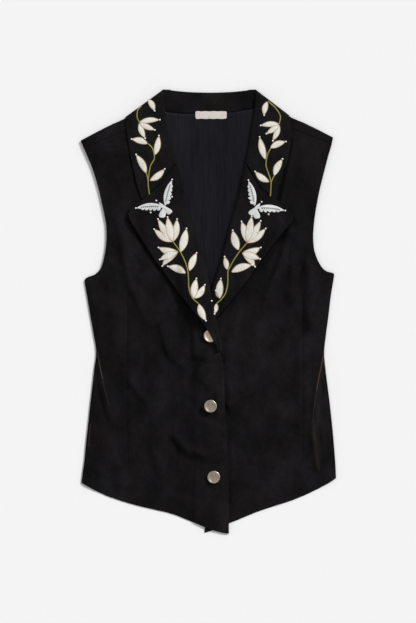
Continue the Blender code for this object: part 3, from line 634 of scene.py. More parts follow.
def half_turn(start, end, outward):
    """Points on a half round from start to end that bulges outward."""
    middle = (start + end) / 2
    arm = (end - start) / 2
    size = np.linalg.norm(arm, axis=-1, keepdims=True)
    points = []
    for turn in np.radians(np.linspace(-90.0, 90.0, ROLL_CELLS + 1)[1:-1]):
        points.append(middle + math.sin(turn) * arm + math.cos(turn) * size * outward)
    return np.stack(points, axis=-2)


def straight_rows(first, last, shares):
    """Rows of plan points on straight lines between two side lines."""
    over = np.asarray(shares)[None, :, None]
    return (1 - over) * first[:, None, :] + over * last[:, None, :]


def between(start, end, shares):
    """Points on a straight line from start to end."""
    over = np.asarray(shares)[:, None]
    return (1 - over) * np.array(start) + over * np.array(end)


def leaf_ground():
    """The part of the collar that lies below the back, as a first ground."""
    plan = through(COLLAR_BACK, 40)[:, :4].reshape(-1, 2, 2)
    ground = Ground()
    ground.lay(*grid_faces(with_height(plan, np.full(plan.shape[:2], COLLAR_WALL))))
    return ground


def grid_faces(grid):
    """A grid's points and triangles."""
    rows, columns = grid.shape[:2]
    faces = []
    for i in range(rows - 1):
        for j in range(columns - 1):
            a = i * columns + j
            faces.append((a, a + 1, a + columns + 1))
            faces.append((a, a + columns + 1, a + columns))
    return grid.reshape(-1, 3), np.array(faces)


def neck_shares(table):
    """Shares along a top line that keep a column at each end of the neck."""
    length = run(table)
    left = length[NECK_FIRST] / length[-1]
    right = length[NECK_LAST] / length[-1]
    return np.concatenate([
        np.linspace(0, left, LIP_CELLS + 1),
        np.linspace(left, right, NECK_CELLS + 1)[1:],
        np.linspace(right, 1, LIP_CELLS + 1)[1:],
    ])


def make_back(under):
    """The back below its lips, the way its top turns over the shoulders, and the seams."""
    shares = neck_shares(np.array(BACK_TOP))
    sides = through(BACK, BACK_ROWS * FINE)
    top = along(BACK_TOP, shares)
    hem = along([sides[0, :2], sides[0, 2:]], shares)
    plan = patch(sides[:, :2], sides[:, 2:], hem, top, shares)
    seam = top.copy()
    steps = np.linspace(0, 1, LIP_CELLS + 1)
    seam[:len(steps)] = between(*SEAM_L, steps)
    seam[-len(steps):] = between(*SEAM_R, steps)
    way = seam - top
    way /= np.maximum(np.linalg.norm(way, axis=1, keepdims=True), TINY)
    plan[-1] += way
    rise = under.at(under.cover(REACH, SOFT), plan)
    return with_height(plan, rise * OVER_LEAF + BACK_WALL), way, seam


def finish_back(grid, way, seam, ground):
    """The back with its lips over the shoulders, and which of its cells are cloth."""
    turned = way.any(axis=1)
    start = grid[-1]
    plan = start[:, :2]
    end = with_height(plan, laid(ground, plan, REACH, SOFT))
    end[:, 2] = np.maximum(end[:, 2], start[:, 2] + LIP_RISE)
    out = with_height(-way, np.zeros(len(way)))
    lips = [*np.moveaxis(half_turn(start, end, out), 1, 0), end]
    for share in np.linspace(0, 1, 2 * FINE + 1)[1:]:
        spot = plan + share * (seam - way * SEAM_SHORT - plan)
        lips.append(with_height(spot, laid(ground, spot, REACH, SOFT)))
    full = np.concatenate([grid, np.where(turned[:, None], lips, start)])
    keep = np.ones((full.shape[0] - 1, full.shape[1] - 1), bool)
    keep[len(grid) - 1:] = turned[:-1] & turned[1:]
    return full, keep


def make_lining(ground):
    """The lining inside the back, in from its sides, hem and shoulder folds."""
    table = np.array(BACK_TOP)
    table[:NECK_FIRST + 1, 1] -= LINING_DROP
    table[NECK_LAST:, 1] -= LINING_DROP
    table[NECK_FIRST + 1:NECK_LAST, 1] -= 0.8
    table[0, 0] += LINING_INSET
    table[-1, 0] -= LINING_INSET
    sides = through(BACK, LINING_ROWS * FINE)
    sides[:, 0] += LINING_INSET
    sides[:, 2] -= LINING_INSET
    sides[0, 1::2] += 18.0
    sides[1, 1::2] += 8.0
    sides[-1, 1::2] -= LINING_DROP
    shares = neck_shares(table)
    top = along(table, shares)
    hem = along([sides[0, :2], sides[0, 2:]], shares)
    plan = patch(sides[:, :2], sides[:, 2:], hem, top, shares)
    return with_height(plan, laid(ground, plan, 12.0, SOFT) - LAY_GAP + SEAM_GAP)


def make_front(table, hem, seam, ground, folds):
    """A front: from its hem to the shoulder seam, and from its side to its front edge."""
    shares = spread(FRONT_PARTS)
    sides = through(table, FRONT_ROWS * FINE)
    start = along(hem, shares)
    end = along(seam, shares)
    plan = patch(sides[:, :2], sides[:, 2:], start, end, shares)
    height = laid(ground, plan, REACH, SOFT) + relief(plan, folds, outline(plan))
    side_y = plan[:, 0, 1]
    pinned = smooth_step((SIDE_TOP - side_y) / SIDE_FADE)
    pinned = pinned * smooth_step((side_y - SIDE_LOW) / SIDE_FADE)
    for step in range(FINE):
        part = pinned * (1 - step / FINE)
        height[:, step] = height[:, step] * (1 - part) + (BACK_WALL + SEAM_GAP) * part
    return with_height(plan, height)


def roll_lines(table, facing):
    """The roll's plan points, the leaf's far points and the way the roll faces."""
    sides = through(table, LAPEL_ROWS * FINE)
    roll = sides[:, :2]
    tangent = np.gradient(roll, axis=0)
    tangent /= np.linalg.norm(tangent, axis=1, keepdims=True)
    out = np.stack([-tangent[:, 1], tangent[:, 0]], axis=1) * facing
    return roll - out * LAPEL_WALL, sides[:, 2:], out


def make_leg(table, facing, ground):
    """The part of a lapel that lies inside the front, along the roll line."""
    roll, _, out = roll_lines(table, facing)
    share = np.linspace(0.0, 1.0, len(roll))
    width = LEG_WIDTH * (1.0 - 0.45 * smooth_step((share - 0.6) / 0.4))
    lines = []
    for part in spread([1.0, 0.8])[::-1]:
        lines.append(roll - out * (ROLL_RADIUS + 0.4 + part * width[:, None]))
    plan = np.stack(lines, axis=1)
    return with_height(plan, laid(ground, plan, *LEAF_COVER) + LAPEL_WALL)


def make_lapel(leg, table, gorge, facing, ground):
    """A whole lapel: leg, roll and leaf."""
    roll, far, out = roll_lines(table, facing)
    length = run(np.array(gorge))
    notch = length[4] / length[-1]
    inner_part = np.linspace(0.0, notch, 5 * FINE + 1)
    shares = np.concatenate([inner_part, np.linspace(notch, 1.0, 2 * FINE + 1)[1:]])
    near = roll - out * (ROLL_RADIUS + 0.1)
    top = along(gorge, shares)
    top[0] = near[0]
    plan = straight_rows(near, far, shares)
    down = np.linspace(0.0, 1.0, len(near))[:, None]
    plan = plan + np.clip(1.0 - down * 2.2, 0.0, 1.0)[..., None] * (top - plan[0])
    height = laid(ground, plan, *LEAF_COVER)
    swell = np.sin(np.pi * shares) * smooth_step((1.0 - down) * 3.0)
    height = height + BELLY * swell * smooth_step(down * 6.0)
    leaf = with_height(plan, height)
    start = leg[:, -1].copy()
    start[:, :2] = near
    start[:, 2] = np.minimum(start[:, 2], height[:, 0] - ROLL_STEP)
    arc = half_turn(start, leaf[:, 0], with_height(out, np.zeros(len(out))))
    return np.concatenate([leg[:, :-1], start[:, None], arc, leaf], axis=1)


def collar_rows():
    """Key rows of the collar: roll, edge and seam points, side, turn and whether it folds."""
    rows = []
    left = through(COLLAR_LEFT, COLLAR_SIDE_ROWS * FINE)
    right = through(COLLAR_RIGHT, COLLAR_SIDE_ROWS * FINE)
    back = through(COLLAR_BACK, COLLAR_BACK_ROWS * FINE)[2 * FINE:-2 * FINE]
    turns = np.linspace(0.0, 180.0, 4 * FINE + 1)
    for row in left:
        rows.append((*row, 1.0, 0.0, 0.0))
    for turn in turns:
        rows.append((*COLLAR_BACK[0], 1.0, turn, 1.0))
    for row in back:
        rows.append((*row, 1.0, 180.0, 0.0))
    for turn in turns[::-1]:
        rows.append((*COLLAR_BACK[-1], -1.0, turn, 1.0))
    for row in right:
        rows.append((*row, -1.0, 0.0, 0.0))
    return np.array(rows)


def make_stand_front(rows, ground):
    """The stand's ends on the lining, below the leaf, as height fields."""
    grids = []
    for facing in (1.0, -1.0):
        part = rows[(rows[:, 6] == facing) & (rows[:, 7] < 1.0)]
        plan = straight_rows(part[:, 4:6], part[:, 0:2], np.linspace(0.0, 1.0, 4))
        grids.append(with_height(plan, laid(ground, plan, *LEAF_COVER) + COLLAR_WALL))
    return grids


def back_stand(rows):
    """The top of the stand at the back neck, as a height field."""
    part = rows[rows[:, 7] > 170.0]
    plan = straight_rows(part[:, 4:6], part[:, 0:2], np.linspace(0.0, 1.0, 4))
    rise = 2 * COLLAR_ROLL - STAND_LOW + COLLAR_WALL
    top = STAND_LOW + COLLAR_WALL + 0.6 + np.linspace(0.0, 1.0, 4) ** 2 * rise
    return with_height(plan, np.broadcast_to(top, plan.shape[:2]).copy())


def unit(vector):
    """The vector at length one."""
    return vector / np.linalg.norm(vector)


def square_to(way, positive, axis):
    """The direction square to way that is positive or negative along an axis."""
    side = np.array([-way[1], way[0]])
    return side if (side[axis] > 0) == positive else -side


def gorge_bend(gorge, shares, start, end):
    """How far the collar's end row moves to follow the gorge seam."""
    seam = along(gorge[:5], shares)
    straight = start + np.asarray(shares)[:, None] * (end - start)
    way = unit(seam[-1] - seam[0])
    away = square_to(way, True, 1) * GORGE_GAP
    bend = seam + away - straight
    bend[0] = 0.0
    return bend


def make_collar(rows, below, above):
    """The collar: stand, roll and leaf, turned round the shoulders."""
    stand_shares = spread([1.0, 1.0])
    leaf_shares = spread(LEAF_PARTS)
    stand_field = below.cover(*LEAF_COVER)
    leaf_field = above.cover(*LEAF_COVER)

    def stand_over(plan):
        """How high the stand's upper face lies at a plan point."""
        return float(below.at(stand_field, plan)) + LAY_GAP + COLLAR_WALL

    def leaf_over(plan):
        """How high the leaf's underside lies at a plan point."""
        return float(above.at(leaf_field, plan)) + LAY_GAP

    tangent = np.gradient(rows[:, 0:2], axis=0)
    lines = []
    for index, row in enumerate(rows):
        roll, edge, seam = row[0:2], row[2:4], row[4:6]
        facing = row[6]
        sine = math.sin(math.radians(row[7]))
        cosine = math.cos(math.radians(row[7]))
        fold = row[8] > 0.5
        if fold:
            out = unit(np.array([facing * max(cosine, 0.0), sine + max(-cosine, 0.0)]))
            past = CORNER_SPREAD * (row[7] / 90.0 - 1.0)
            roll = roll + np.array([facing * max(past, 0.0), min(past, 0.0)])
        elif cosine > 0:
            out = square_to(unit(tangent[index]), facing > 0, 0)
        else:
            out = np.array([0.0, 1.0])
        inside = roll - out * (COLLAR_WALL + COLLAR_ROLL)
        arm = np.array([-facing * sine, 0.0, cosine]) * COLLAR_ROLL
        high = max(leaf_over(inside), stand_over(inside) + 2 * COLLAR_ROLL) - COLLAR_ROLL
        low = COLLAR_WALL + COLLAR_ROLL
        centre = np.array([*inside, (high + low) / 2 + (high - low) / 2 * cosine])
        first = centre - arm
        last = centre + arm
        stand_out = square_to(unit(roll - seam), facing < 0, 0)
        line = []
        for share in stand_shares[:-1]:
            plan = seam + share * (first[:2] - seam)
            top = stand_over(plan)
            half = (top - STAND_LOW) / 2
            if fold:
                plan = plan - stand_out * half * (1 - abs(sine)) * (1 - share)
            height = (top + STAND_LOW) / 2 + half * cosine
            line.append((*plan, height * (1 - share ** 2) + first[2] * share ** 2))
        spine = np.array([[*out, 0.0]])
        line += [first, *half_turn(first[None], last[None], spine)[0], last]
        if fold:
            leaf_out = square_to(unit(edge - roll), True, 1)
            half = (leaf_over(edge) - COLLAR_WALL) / 2
            edge = edge - leaf_out * (COLLAR_WALL + half * (1 - abs(sine)))
        near_end = min(index, len(rows) - 1 - index)
        hold = max(0.0, 1.0 - near_end / (3.0 * FINE))
        gorge = GORGE_LEFT if facing > 0 else GORGE_RIGHT
        tip = rows[0] if facing > 0 else rows[-1]
        bend = gorge_bend(gorge, leaf_shares, tip[0:2], tip[2:4])
        for share, move in zip(leaf_shares[1:], bend[1:]):
            plan = last[:2] + share * (edge - last[:2]) + hold * move
            top = leaf_over(plan)
            height = (top + COLLAR_WALL) / 2 + (top - COLLAR_WALL) / 2 * cosine
            puff = math.exp(-(share * 5.0) ** 2)
            line.append((*plan, height * (1 - puff) + last[2] * puff))
        lines.append(line)
    return np.array(lines)


def chained(table):
    """A row for each stretch of the lines in a table."""
    rows = []
    for width, height, *points in table:
        for first, last in zip(points[:-1], points[1:]):
            rows.append((*first, *last, width, height))
    return rows


def puckers(sides, heights, starts):
    """Short creases that run down to a dart from both sides, a pair at each start."""
    left, left_end, right_end, right = sides
    rows = []
    for y in starts:
        rows.append((left, y, left_end, y - PUCKER_DROP, PUCKER_WIDTH, heights[0]))
        rows.append((right_end, y - PUCKER_DROP, right, y, PUCKER_WIDTH, heights[1]))
    return rows


# Dart seams
DART_LEFT = ((-129.4, 29.2), (-129.0, -30.0), (-129.8, -97.2), (-129.1, -174.0), (-128.5, -254.0))
DART_RIGHT = ((151.2, 24.4), (150.6, -46.0), (151.2, -142.0), (151.5, -225.2))

# Creases of the left front, with the puckers at its dart and its edge
CREASES_LEFT = chained((
    # width, height, then the points of a line
    (4, 1.5, (-143.2, 142.8), (-136.8, 98), (-128.8, 59.6), (-111.2, 14.8), (-93.6, -23.6)),
    (4, 1.2, (-93.6, -23.6), (-69.6, -7.6), (-42.4, 14.8)),
    (3.5, -1, (-117.6, 50), (-103.2, 30.8), (-88.8, 18)),
    (3.2, -1.5, (-84, -30), (-77.6, -55.6), (-66.4, -81.2), (-50.4, -95.6)),
    (3.2, -1.5, (-50.4, -95.6), (-31.2, -108.4), (-4, -129.2)),
    (4, 1.3, (-76, -30), (-68, -55.6), (-55.2, -74.8), (-39.2, -87.6)),
    (3.2, -1.3, (-119.2, -84.4), (-104.8, -106.8), (-88.8, -130.8)),
    (3.5, 1.2, (-125.6, -108.4), (-114.4, -127.6), (-101.6, -143.6)),
    (3.2, 1.7, (-53.6, -196.4), (-44, -210.8), (-31.2, -222), (-7.2, -226.8)),
    (3.2, 1.7, (-7.2, -226.8), (10.4, -223.6), (26.4, -215.6)),
    (3.2, -1.4, (-60, -206), (-48.8, -223.6), (-36, -238), (-7.2, -246), (24.8, -242.8)),
    (4, 1.2, (-93.6, -196.4), (-87.2, -222), (-76, -260.4)),
    (2.4, 1.8, (-177.3, -65.2), (-175.7, -89.2), (-171.2, -113.2), (-164.8, -138.8), (-156.8, -170.8)),
    (3, -1.6, (-182.4, -68.4), (-181.3, -90.8), (-177.6, -116.4), (-171.2, -142), (-164, -170.8)),
    (1.5, -1, *DART_LEFT),
    (4.5, 1, (-160.8, 78.8), (-143.2, 69.2), (-120.8, 66)),
    (4.5, 0.9, (-165.6, 46.8), (-144.8, 34), (-130.4, 16.4)),
    (4, -0.8, (-28, -145.2), (-12, -161.2), (2.4, -170.8)),
    (3.6, 0.9, (-34.4, -129.2), (-15.2, -140.4), (7.2, -145.2)),
    (5, 0.8, (-156, -206), (-146.4, -238), (-141.6, -273.2)),
    (4, 0.8, (-18.4, -266.8), (0.8, -286), (23.2, -297.2)),
    (4.5, 0.9, (-175.2, 18), (-173.6, -14), (-167.2, -42.8)),
    (5, 0.7, (-108, -302), (-76, -292.4), (-40.8, -297.2)),
))
CREASES_LEFT += puckers(
    (-139.2, -130.4, -127.8, -119.2), (0.6, 0.5),
    (-41.2, -50.8, -60.4, -71.6, -81.2, -92.4, -102, -114.8, -127.6),
)
for y in (-178.8, -186.8, -194.8, -204.4, -268.4, -278, -286, -295.6):
    CREASES_LEFT.append((19.2, y, 29.3, y - 3.5, 1.5, 0.5))

# Creases of the right front, with the puckers at its dart
CREASES_RIGHT = chained((
    # width, height, then the points of a line
    (3.2, -1.6, (109.6, -55.6), (93.6, -74.8), (74.4, -98.8)),
    (3.6, 1.7, (103.2, -105.2), (79.2, -122.8), (53.6, -135.6), (31.2, -148.4)),
    (3.2, -1.3, (29.6, -166), (42.4, -175.6), (58.4, -185.2)),
    (3.2, -1.2, (90.4, -175.6), (112.8, -183.6), (135.2, -188.4)),
    (3.6, 1.5, (109.6, -201.2), (92, -217.2), (71.2, -236.4)),
    (3.6, 1.6, (130.4, 128.4), (124, 104.4), (116, 82), (106.4, 54.8), (93.6, 24.4)),
    (3.4, -0.9, (120.8, 120.4), (111.2, 91.6), (100, 62.8)),
    (4, 1.1, (133.6, 104.4), (133.6, 59.6), (135.2, 14.8)),
    (4, 1.2, (157.6, 78.8), (160.8, 34), (162.4, -23.6)),
    (2.4, 1.8, (182.9, -71.6), (179.4, -97.2), (175.2, -122.8), (172.6, -145.2), (172, -169.2)),
    (2.4, 1.8, (172, -169.2), (166.4, -194.8), (172, -217.2), (175.2, -247.6)),
    (3, -1.5, (187.2, -71.6), (184.8, -97.2), (181.6, -122.8), (179.4, -148.4), (178.4, -170.8)),
    (3, -1.5, (178.4, -170.8), (174.4, -194.8), (178.4, -217.2), (181.6, -244.4)),
    (1.5, -0.9, *DART_RIGHT),
    (2.6, 1.3, (69.6, 37.2), (52, 13.2), (23.2, -18.8)),
    (4, 0.9, (148, 88.4), (132, 78.8), (117.6, 62.8)),
    (1.6, 0.7, (37.6, -254), (36.8, -286), (36, -337.2)),
    (4, -0.9, (87.2, -17.2), (103.2, -33.2), (125.6, -46)),
    (4.5, 0.7, (45.6, -206), (68, -217.2), (87.2, -234.8)),
    (4.5, 0.8, (61.6, -270), (87.2, -260.4), (116, -263.6)),
    (4.5, 0.8, (141.6, -247.6), (154.4, -266.8), (160.8, -286)),
    (4, 0.8, (52, -65.2), (64.8, -49.2), (87.2, -42.8)),
    (2.8, -1.5, (136.5, 143.6), (106.4, 106.8), (66.4, 50.8), (29.6, 3.9), (13.6, -13.2)),
    (3.2, 0.9, (141.6, 131.6), (112.8, 94.8), (72.8, 40.4)),
    (2.4, -1.2, (19.2, -62), (24.6, -88.4), (27.4, -126.8), (29, -166.8), (30.6, -203.6)),
    (2.4, -1.2, (30.6, -203.6), (33.6, -270.8), (34.7, -334.8)),
))
CREASES_RIGHT += puckers(
    (141.6, 149.6, 152.8, 160.8), (0.5, 0.5),
    (-146.8, -158, -169.2, -180.4, -191.6, -204.4),
)

# Painted highlights where the nap along folds catches the light, and painted shade beside the turned
# edges of the lapels and collar
GLINTS_LEFT = (
    # line, width in metres, share
    (((-177.2, -66.0), (-173.6, -86.0), (-169.0, -106.0)), 0.0011, 0.26),
    (((-169.0, -106.0), (-165.5, -124.0), (-158.0, -150.0)), 0.0011, 0.07),
    (((-188.6, -180.0), (-191.2, -214.0)), 0.0011, 0.14),
)
GLINTS_RIGHT = (
    # line, width in metres, share
    (((184.0, -71.6), (178.4, -97.2), (172.8, -124.0)), 0.0012, 0.28),
    (((172.8, -124.0), (168.0, -160.0), (167.0, -176.0)), 0.0014, 0.12),
    (((167.0, -176.0), (171.0, -222.0), (175.0, -250.0)), 0.0045, 0.05),
)
# Painted shade along the outer edges of the lapels and collar, where they shade the front below
SHADE_LINES_LEFT = (
    # line, width in metres, share
    ([row[2:4] for row in LAPEL_LEFT[:-1]], 0.0058, 0.8),
    ([row[2:4] for row in COLLAR_LEFT[:4]], 0.0044, 0.75),
)
SHADE_LINES_RIGHT = (
    # line, width in metres, share
    ([row[2:4] for row in LAPEL_RIGHT], 0.0042, 0.95),
    ([row[2:4] for row in COLLAR_RIGHT[2:]], 0.0062, 0.9),
)


def ripple(plan, seed, length, height):
    """A soft unevenness made of a few waves that run in different directions."""
    total = np.zeros(plan.shape[:-1])
    for k in range(6):
        turn = seed * 1.7 + k * 2.4
        size = length * (0.7 + 0.16 * k)
        phase = seed * 3.1 + k * 1.3
        way = plan[..., 0] * math.cos(turn) + plan[..., 1] * math.sin(turn)
        bend = np.sin(plan[..., 0] / (size * 2.3) + phase) * 1.4
        total += np.sin(2 * math.pi * way / size + phase + bend)
    return total / 6 * height


def ridges(plan, rows, gain, spread=1.0):
    """The height over a panel of the ridges and troughs in a table's rows."""
    ridge = np.zeros(plan.shape[:-1])
    trough = np.zeros(plan.shape[:-1])
    for x0, y0, x1, y1, width, height in rows:
        away = from_line(plan, x0, y0, x1, y1)
        swell = gain * height * np.exp(-(away / (spread * width)) ** 2)
        ridge = np.maximum(ridge, swell)
        trough = np.minimum(trough, swell)
    return ridge + trough


def relief(plan, folds, rim):
    """How much a panel stands up above what it lies on: air, folds, creases and unevenness."""
    from_rim = np.full(plan.shape[:-1], 1e9)
    for point in rim[::2]:
        from_rim = np.minimum(from_rim, np.hypot(plan[..., 0] - point[0], plan[..., 1] - point[1]))
    left = folds is FOLDS_LEFT
    uneven = 1.0 + ripple(plan, 5.0, 47.0, 0.35)
    rise = AIR + ridges(plan, folds, 1.15 if left else 1.5) * uneven
    rise = rise + ripple(plan, 1.0 if left else 2.0, 62.0, 1.1)
    rise = rise * smooth_step(from_rim / FADE)
    creases = CREASES_LEFT if left else CREASES_RIGHT
    sharp = ridges(plan, creases, CREASE_GAIN, CREASE_SPREAD) * uneven
    sharp = sharp + ripple(plan, 3.0 if left else 4.0, 24.0, 0.55)
    rise = np.maximum(rise + sharp * smooth_step(from_rim / 7.0), 0.0)
    for x, y in SNAPS:
        away = np.hypot(plan[..., 0] - x, plan[..., 1] - y)
        rise = rise * smooth_step((away - CAP_FLAT) / CAP_FADE)
    return rise


def blank(name):
    """A new material with its shader, and its node tree."""
    material = bpy.data.materials.new(name)
    material.use_nodes = True
    tree = material.node_tree
    return material, tree, tree.nodes["Principled BSDF"]


def place(tree, kind="Object"):
    """Coordinates in metres over the piece."""
    node = tree.nodes.new("ShaderNodeTexCoord")
    return node.outputs[kind]


def fill(tree, node, inputs):
    """Sets a node's inputs to values, or links them to other nodes' outputs."""
    for key, value in inputs.items():
        socket = node.inputs[key]
        if isinstance(value, bpy.types.NodeSocket):
            tree.links.new(value, socket)
        elif socket.type == "RGBA":
            socket.default_value = (*value, 1.0)
        else:
            socket.default_value = value


def add_node(tree, kind, inputs, **settings):
    """A new shader node with its settings and its inputs."""
    node = tree.nodes.new("ShaderNode" + kind)
    for key, value in settings.items():
        setattr(node, key, value)
    fill(tree, node, inputs)
    return node


def maths(tree, operation, *values):
    """What a number node makes of its values."""
    node = add_node(tree, "Math", dict(enumerate(values)), operation=operation)
    return node.outputs["Value"]


def vector(tree, operation, inputs, output="Vector"):
    """What a vector node makes of its inputs."""
    return add_node(tree, "VectorMath", inputs, operation=operation).outputs[output]


def noise(tree, where, scale, detail, rough=0.55, stretch=None):
    """A noise texture's value."""
    if stretch is not None:
        where = add_node(tree, "Mapping", {"Scale": stretch, "Vector": where}).outputs["Vector"]
    inputs = {"Scale": scale, "Detail": detail, "Roughness": rough, "Vector": where}
    return add_node(tree, "TexNoise", inputs).outputs["Fac"]


def ramp(tree, value, low, high, first, last):
    """Maps a value from low and high onto two colours."""
    node = add_node(tree, "ValToRGB", {"Fac": value})
    for element, at, colour in zip(node.color_ramp.elements, (low, high), (first, last)):
        element.position = at
        element.color = (*colour, 1.0)
    return node.outputs["Color"]


def bump(tree, shader, heights):
    """Stacks bumps, each a value, a strength and a depth in metres."""
    stacked = {}
    for value, strength, depth in heights:
        inputs = {"Height": value, "Strength": strength, "Distance": depth, **stacked}
        stacked = {"Normal": add_node(tree, "Bump", inputs).outputs["Normal"]}
    fill(tree, shader, stacked)


def mixed(tree, share, first, last, kind="MIX"):
    """Two colours mixed by a share."""
    inputs = {0: share, 6: first, 7: last}
    return add_node(tree, "Mix", inputs, data_type="RGBA", blend_type=kind).outputs[2]


def spread_to(tree, value, low, high, first=0.0, last=1.0):
    """A value's range from low to high mapped onto another range."""
    inputs = {"From Min": low, "From Max": high, "To Min": first, "To Max": last, "Value": value}
    node = add_node(tree, "MapRange", inputs, interpolation_type="SMOOTHSTEP")
    return node.outputs["Result"]


def near_line(tree, where, points):
    """The distance in metres from a line through points given in millimetres."""
    flat = vector(tree, "MULTIPLY", {0: where, 1: (1.0, 1.0, 0.0)})
    nearest = None
    ends = [Vector(((x - CENTRE[0]) * MILLI, (y - CENTRE[1]) * MILLI, 0.0)) for x, y in points]
    for first, last in zip(ends[:-1], ends[1:]):
        way = last - first
        length = way.length
        way.normalize()
        rest = vector(tree, "SUBTRACT", {0: flat, 1: first})
        ahead = vector(tree, "DOT_PRODUCT", {0: rest, 1: way}, "Value")
        held = add_node(tree, "Clamp", {"Max": length, "Value": ahead}).outputs["Result"]
        foot = vector(tree, "SCALE", {0: way, "Scale": held})
        gap = vector(tree, "DISTANCE", {0: rest, 1: foot}, "Value")
        nearest = gap if nearest is None else maths(tree, "MINIMUM", nearest, gap)
    return nearest


def painted(tree, colour, paint, away, start, width, share):
    """A colour with paint on it near a line, fading out to a width in metres."""
    return mixed(tree, spread_to(tree, away, start, width, share, 0.0), colour, paint)


def suede(name, turn, seams=(), glints=(), shade_lines=()):
    """Black napped cloth: brushed patches, short fibres, seams, painted highlights along folds and
    painted shade beside the turned edges.
    """
    material, tree, shader = blank(name)
    where = place(tree)
    broad = noise(tree, where, 9.0, 3.0, 0.5, (1.0, 0.7 + turn, 1.0))
    patches = noise(tree, where, 34.0, 5.0, 0.64, (1.0 - 0.3 * turn, 0.66, 1.0))
    flecks = noise(tree, where, 260.0, 4.0, 0.7)
    warmth = noise(tree, where, 22.0, 3.0, 0.5, (1.0, 0.6 + turn, 1.0))
    smooth = ramp(tree, patches, 0.32, 0.70, *NAP_SMOOTH)
    brushed = ramp(tree, patches, 0.32, 0.70, *NAP_BRUSHED)
    colour = mixed(tree, spread_to(tree, broad, 0.34, 0.66), smooth, brushed)
    warm = ramp(tree, patches, 0.30, 0.72, *NAP_WARM)
    colour = mixed(tree, spread_to(tree, warmth, 0.42, 0.68, 0.0, 0.6), colour, warm)
    fleck = ramp(tree, flecks, 0.35, 0.75, (0.72, 0.72, 0.72), WHITE)
    colour = mixed(tree, 1.0, colour, fleck, "MULTIPLY")
    heights = [(patches, 0.25, 0.002)]
    # Painted highlights: light brown lines along fold edges that stand in for the nap catching the
    # light
    for points, width, shine_share in glints:
        away = near_line(tree, where, points)
        colour = painted(tree, colour, PAINTED_SHEEN, away, 0.0003, width, shine_share)
    for points in seams:
        away = near_line(tree, where, points)
        colour = painted(tree, colour, STITCHED, away, 0.0002, 0.0011, 0.4)
        heights.append((spread_to(tree, away, 0.0, 0.0016), 0.5, 0.0006))
    # Painted shade: near black along the lapel and collar edges, fading out over a width
    for points, width, dark in shade_lines:
        away = near_line(tree, where, points)
        colour = painted(tree, colour, PAINTED_SHADE, away, 0.0004, width, dark)
    nap = noise(tree, where, 300.0, 4.0, 0.7, (1.0, 0.55, 1.0))
    fibres = noise(tree, where, 1500.0, 2.0, 0.6, (1.0, 0.4, 1.0))
    fill(tree, shader, {
        "Base Color": colour,
        "Roughness": spread_to(tree, patches, 0.2, 0.8, 0.8, 0.95),
        "Specular IOR Level": 0.05,
        "Sheen Weight": 0.035,
        "Sheen Roughness": 0.35,
        "Sheen Tint": (0.95, 0.80, 0.74),
    })
    bump(tree, shader, heights + [(nap, 0.35, 0.0010), (fibres, 0.4, 0.0004)])
    return material


def satin(name):
    """Dark navy satin with fine upright weave lines."""
    material, tree, shader = blank(name)
    where = place(tree)
    lines = noise(tree, where, 900.0, 2.0, 0.5, (1.0, 0.035, 1.0))
    streaks = noise(tree, where, 190.0, 3.0, 0.6, (1.0, 0.05, 1.0))
    broad = noise(tree, where, 24.0, 3.0, 0.5, (1.0, 0.35, 1.0))
    fine = ramp(tree, lines, 0.25, 0.8, (0.0034, 0.0034, 0.0060), (0.0086, 0.0085, 0.0142))
    streak = ramp(tree, streaks, 0.3, 0.7, (0.62, 0.62, 0.64), WHITE)
    fill(tree, shader, {
        "Base Color": mixed(tree, 1.0, fine, streak, "MULTIPLY"),
        "Roughness": spread_to(tree, broad, 0.3, 0.7, 0.34, 0.5),
        "Specular IOR Level": 0.12,
        "Anisotropic": 0.4,
    })
    bump(tree, shader, ((broad, 0.35, 0.004), (lines, 0.3, 0.0003)))
    return material


def metal(name, tone):
    """Champagne-coloured metal with faint brushed marks."""
    material, tree, shader = blank(name)
    where = place(tree)
    marks = noise(tree, where, 380.0, 4.0, 0.6, (1.0, 0.25, 1.0))
    stain = noise(tree, where, 120.0, 2.0)
    dark, light, dull = [[tone * part for part in colour] for colour in CHAMPAGNE]
    base = ramp(tree, marks, 0.3, 0.75, dark, light)
    fill(tree, shader, {
        "Base Color": mixed(tree, spread_to(tree, stain, 0.45, 0.7, 0.0, 0.5), base, dull),
        "Metallic": 1.0,
        "Roughness": spread_to(tree, marks, 0.3, 0.8, 0.32, 0.48),
    })
    bump(tree, shader, ((marks, 0.15, 0.0003),))
    return material


def thread(name, dark, light, gloss, scale=1.0):
    """Embroidery thread: close satin stitches that run across the shape."""
    material, tree, shader = blank(name)
    stitches = noise(tree, place(tree, "UV"), 2300.0 * scale, 1.0, 0.5, (1.0, 0.06, 1.0))
    patches = noise(tree, place(tree), 90.0, 3.0)
    blend = maths(tree, "MULTIPLY_ADD", stitches, 0.7, maths(tree, "MULTIPLY", patches, 0.3))
    fill(tree, shader, {
        "Base Color": ramp(tree, blend, 0.32, 0.66, dark, light),
        "Roughness": gloss,
        "Sheen Weight": 0.25,
        "Sheen Roughness": 0.4,
    })
    bump(tree, shader, ((stitches, 0.5, 0.0004),))
    return material


def woven(name):
    """The bare label: a close cream weave."""
    material, tree, shader = blank(name)
    where = place(tree)
    rows = noise(tree, where, 1700.0, 1.0, 0.5, (0.12, 1.0, 1.0))
    columns = noise(tree, where, 1700.0, 1.0, 0.5, (1.0, 0.12, 1.0))
    weave = maths(tree, "ADD", rows, columns)
    colour = ramp(tree, weave, 0.6, 1.0, (0.40, 0.37, 0.32), (0.63, 0.60, 0.54))
    fill(tree, shader, {"Base Color": colour, "Roughness": 0.78})
    bump(tree, shader, ((weave, 0.4, 0.0003),))
    return material


def pearl(name):
    """A white pearl bead."""
    material, tree, shader = blank(name)
    fill(tree, shader, {
        "Base Color": (0.80, 0.78, 0.75),
        "Roughness": 0.22,
        "Coat Weight": 0.6,
        "Coat Roughness": 0.1,
    })
    return material


def shown(name, data):
    """A new object in the scene."""
    item = bpy.data.objects.new(name, data)
    bpy.context.scene.collection.objects.link(item)
    return item


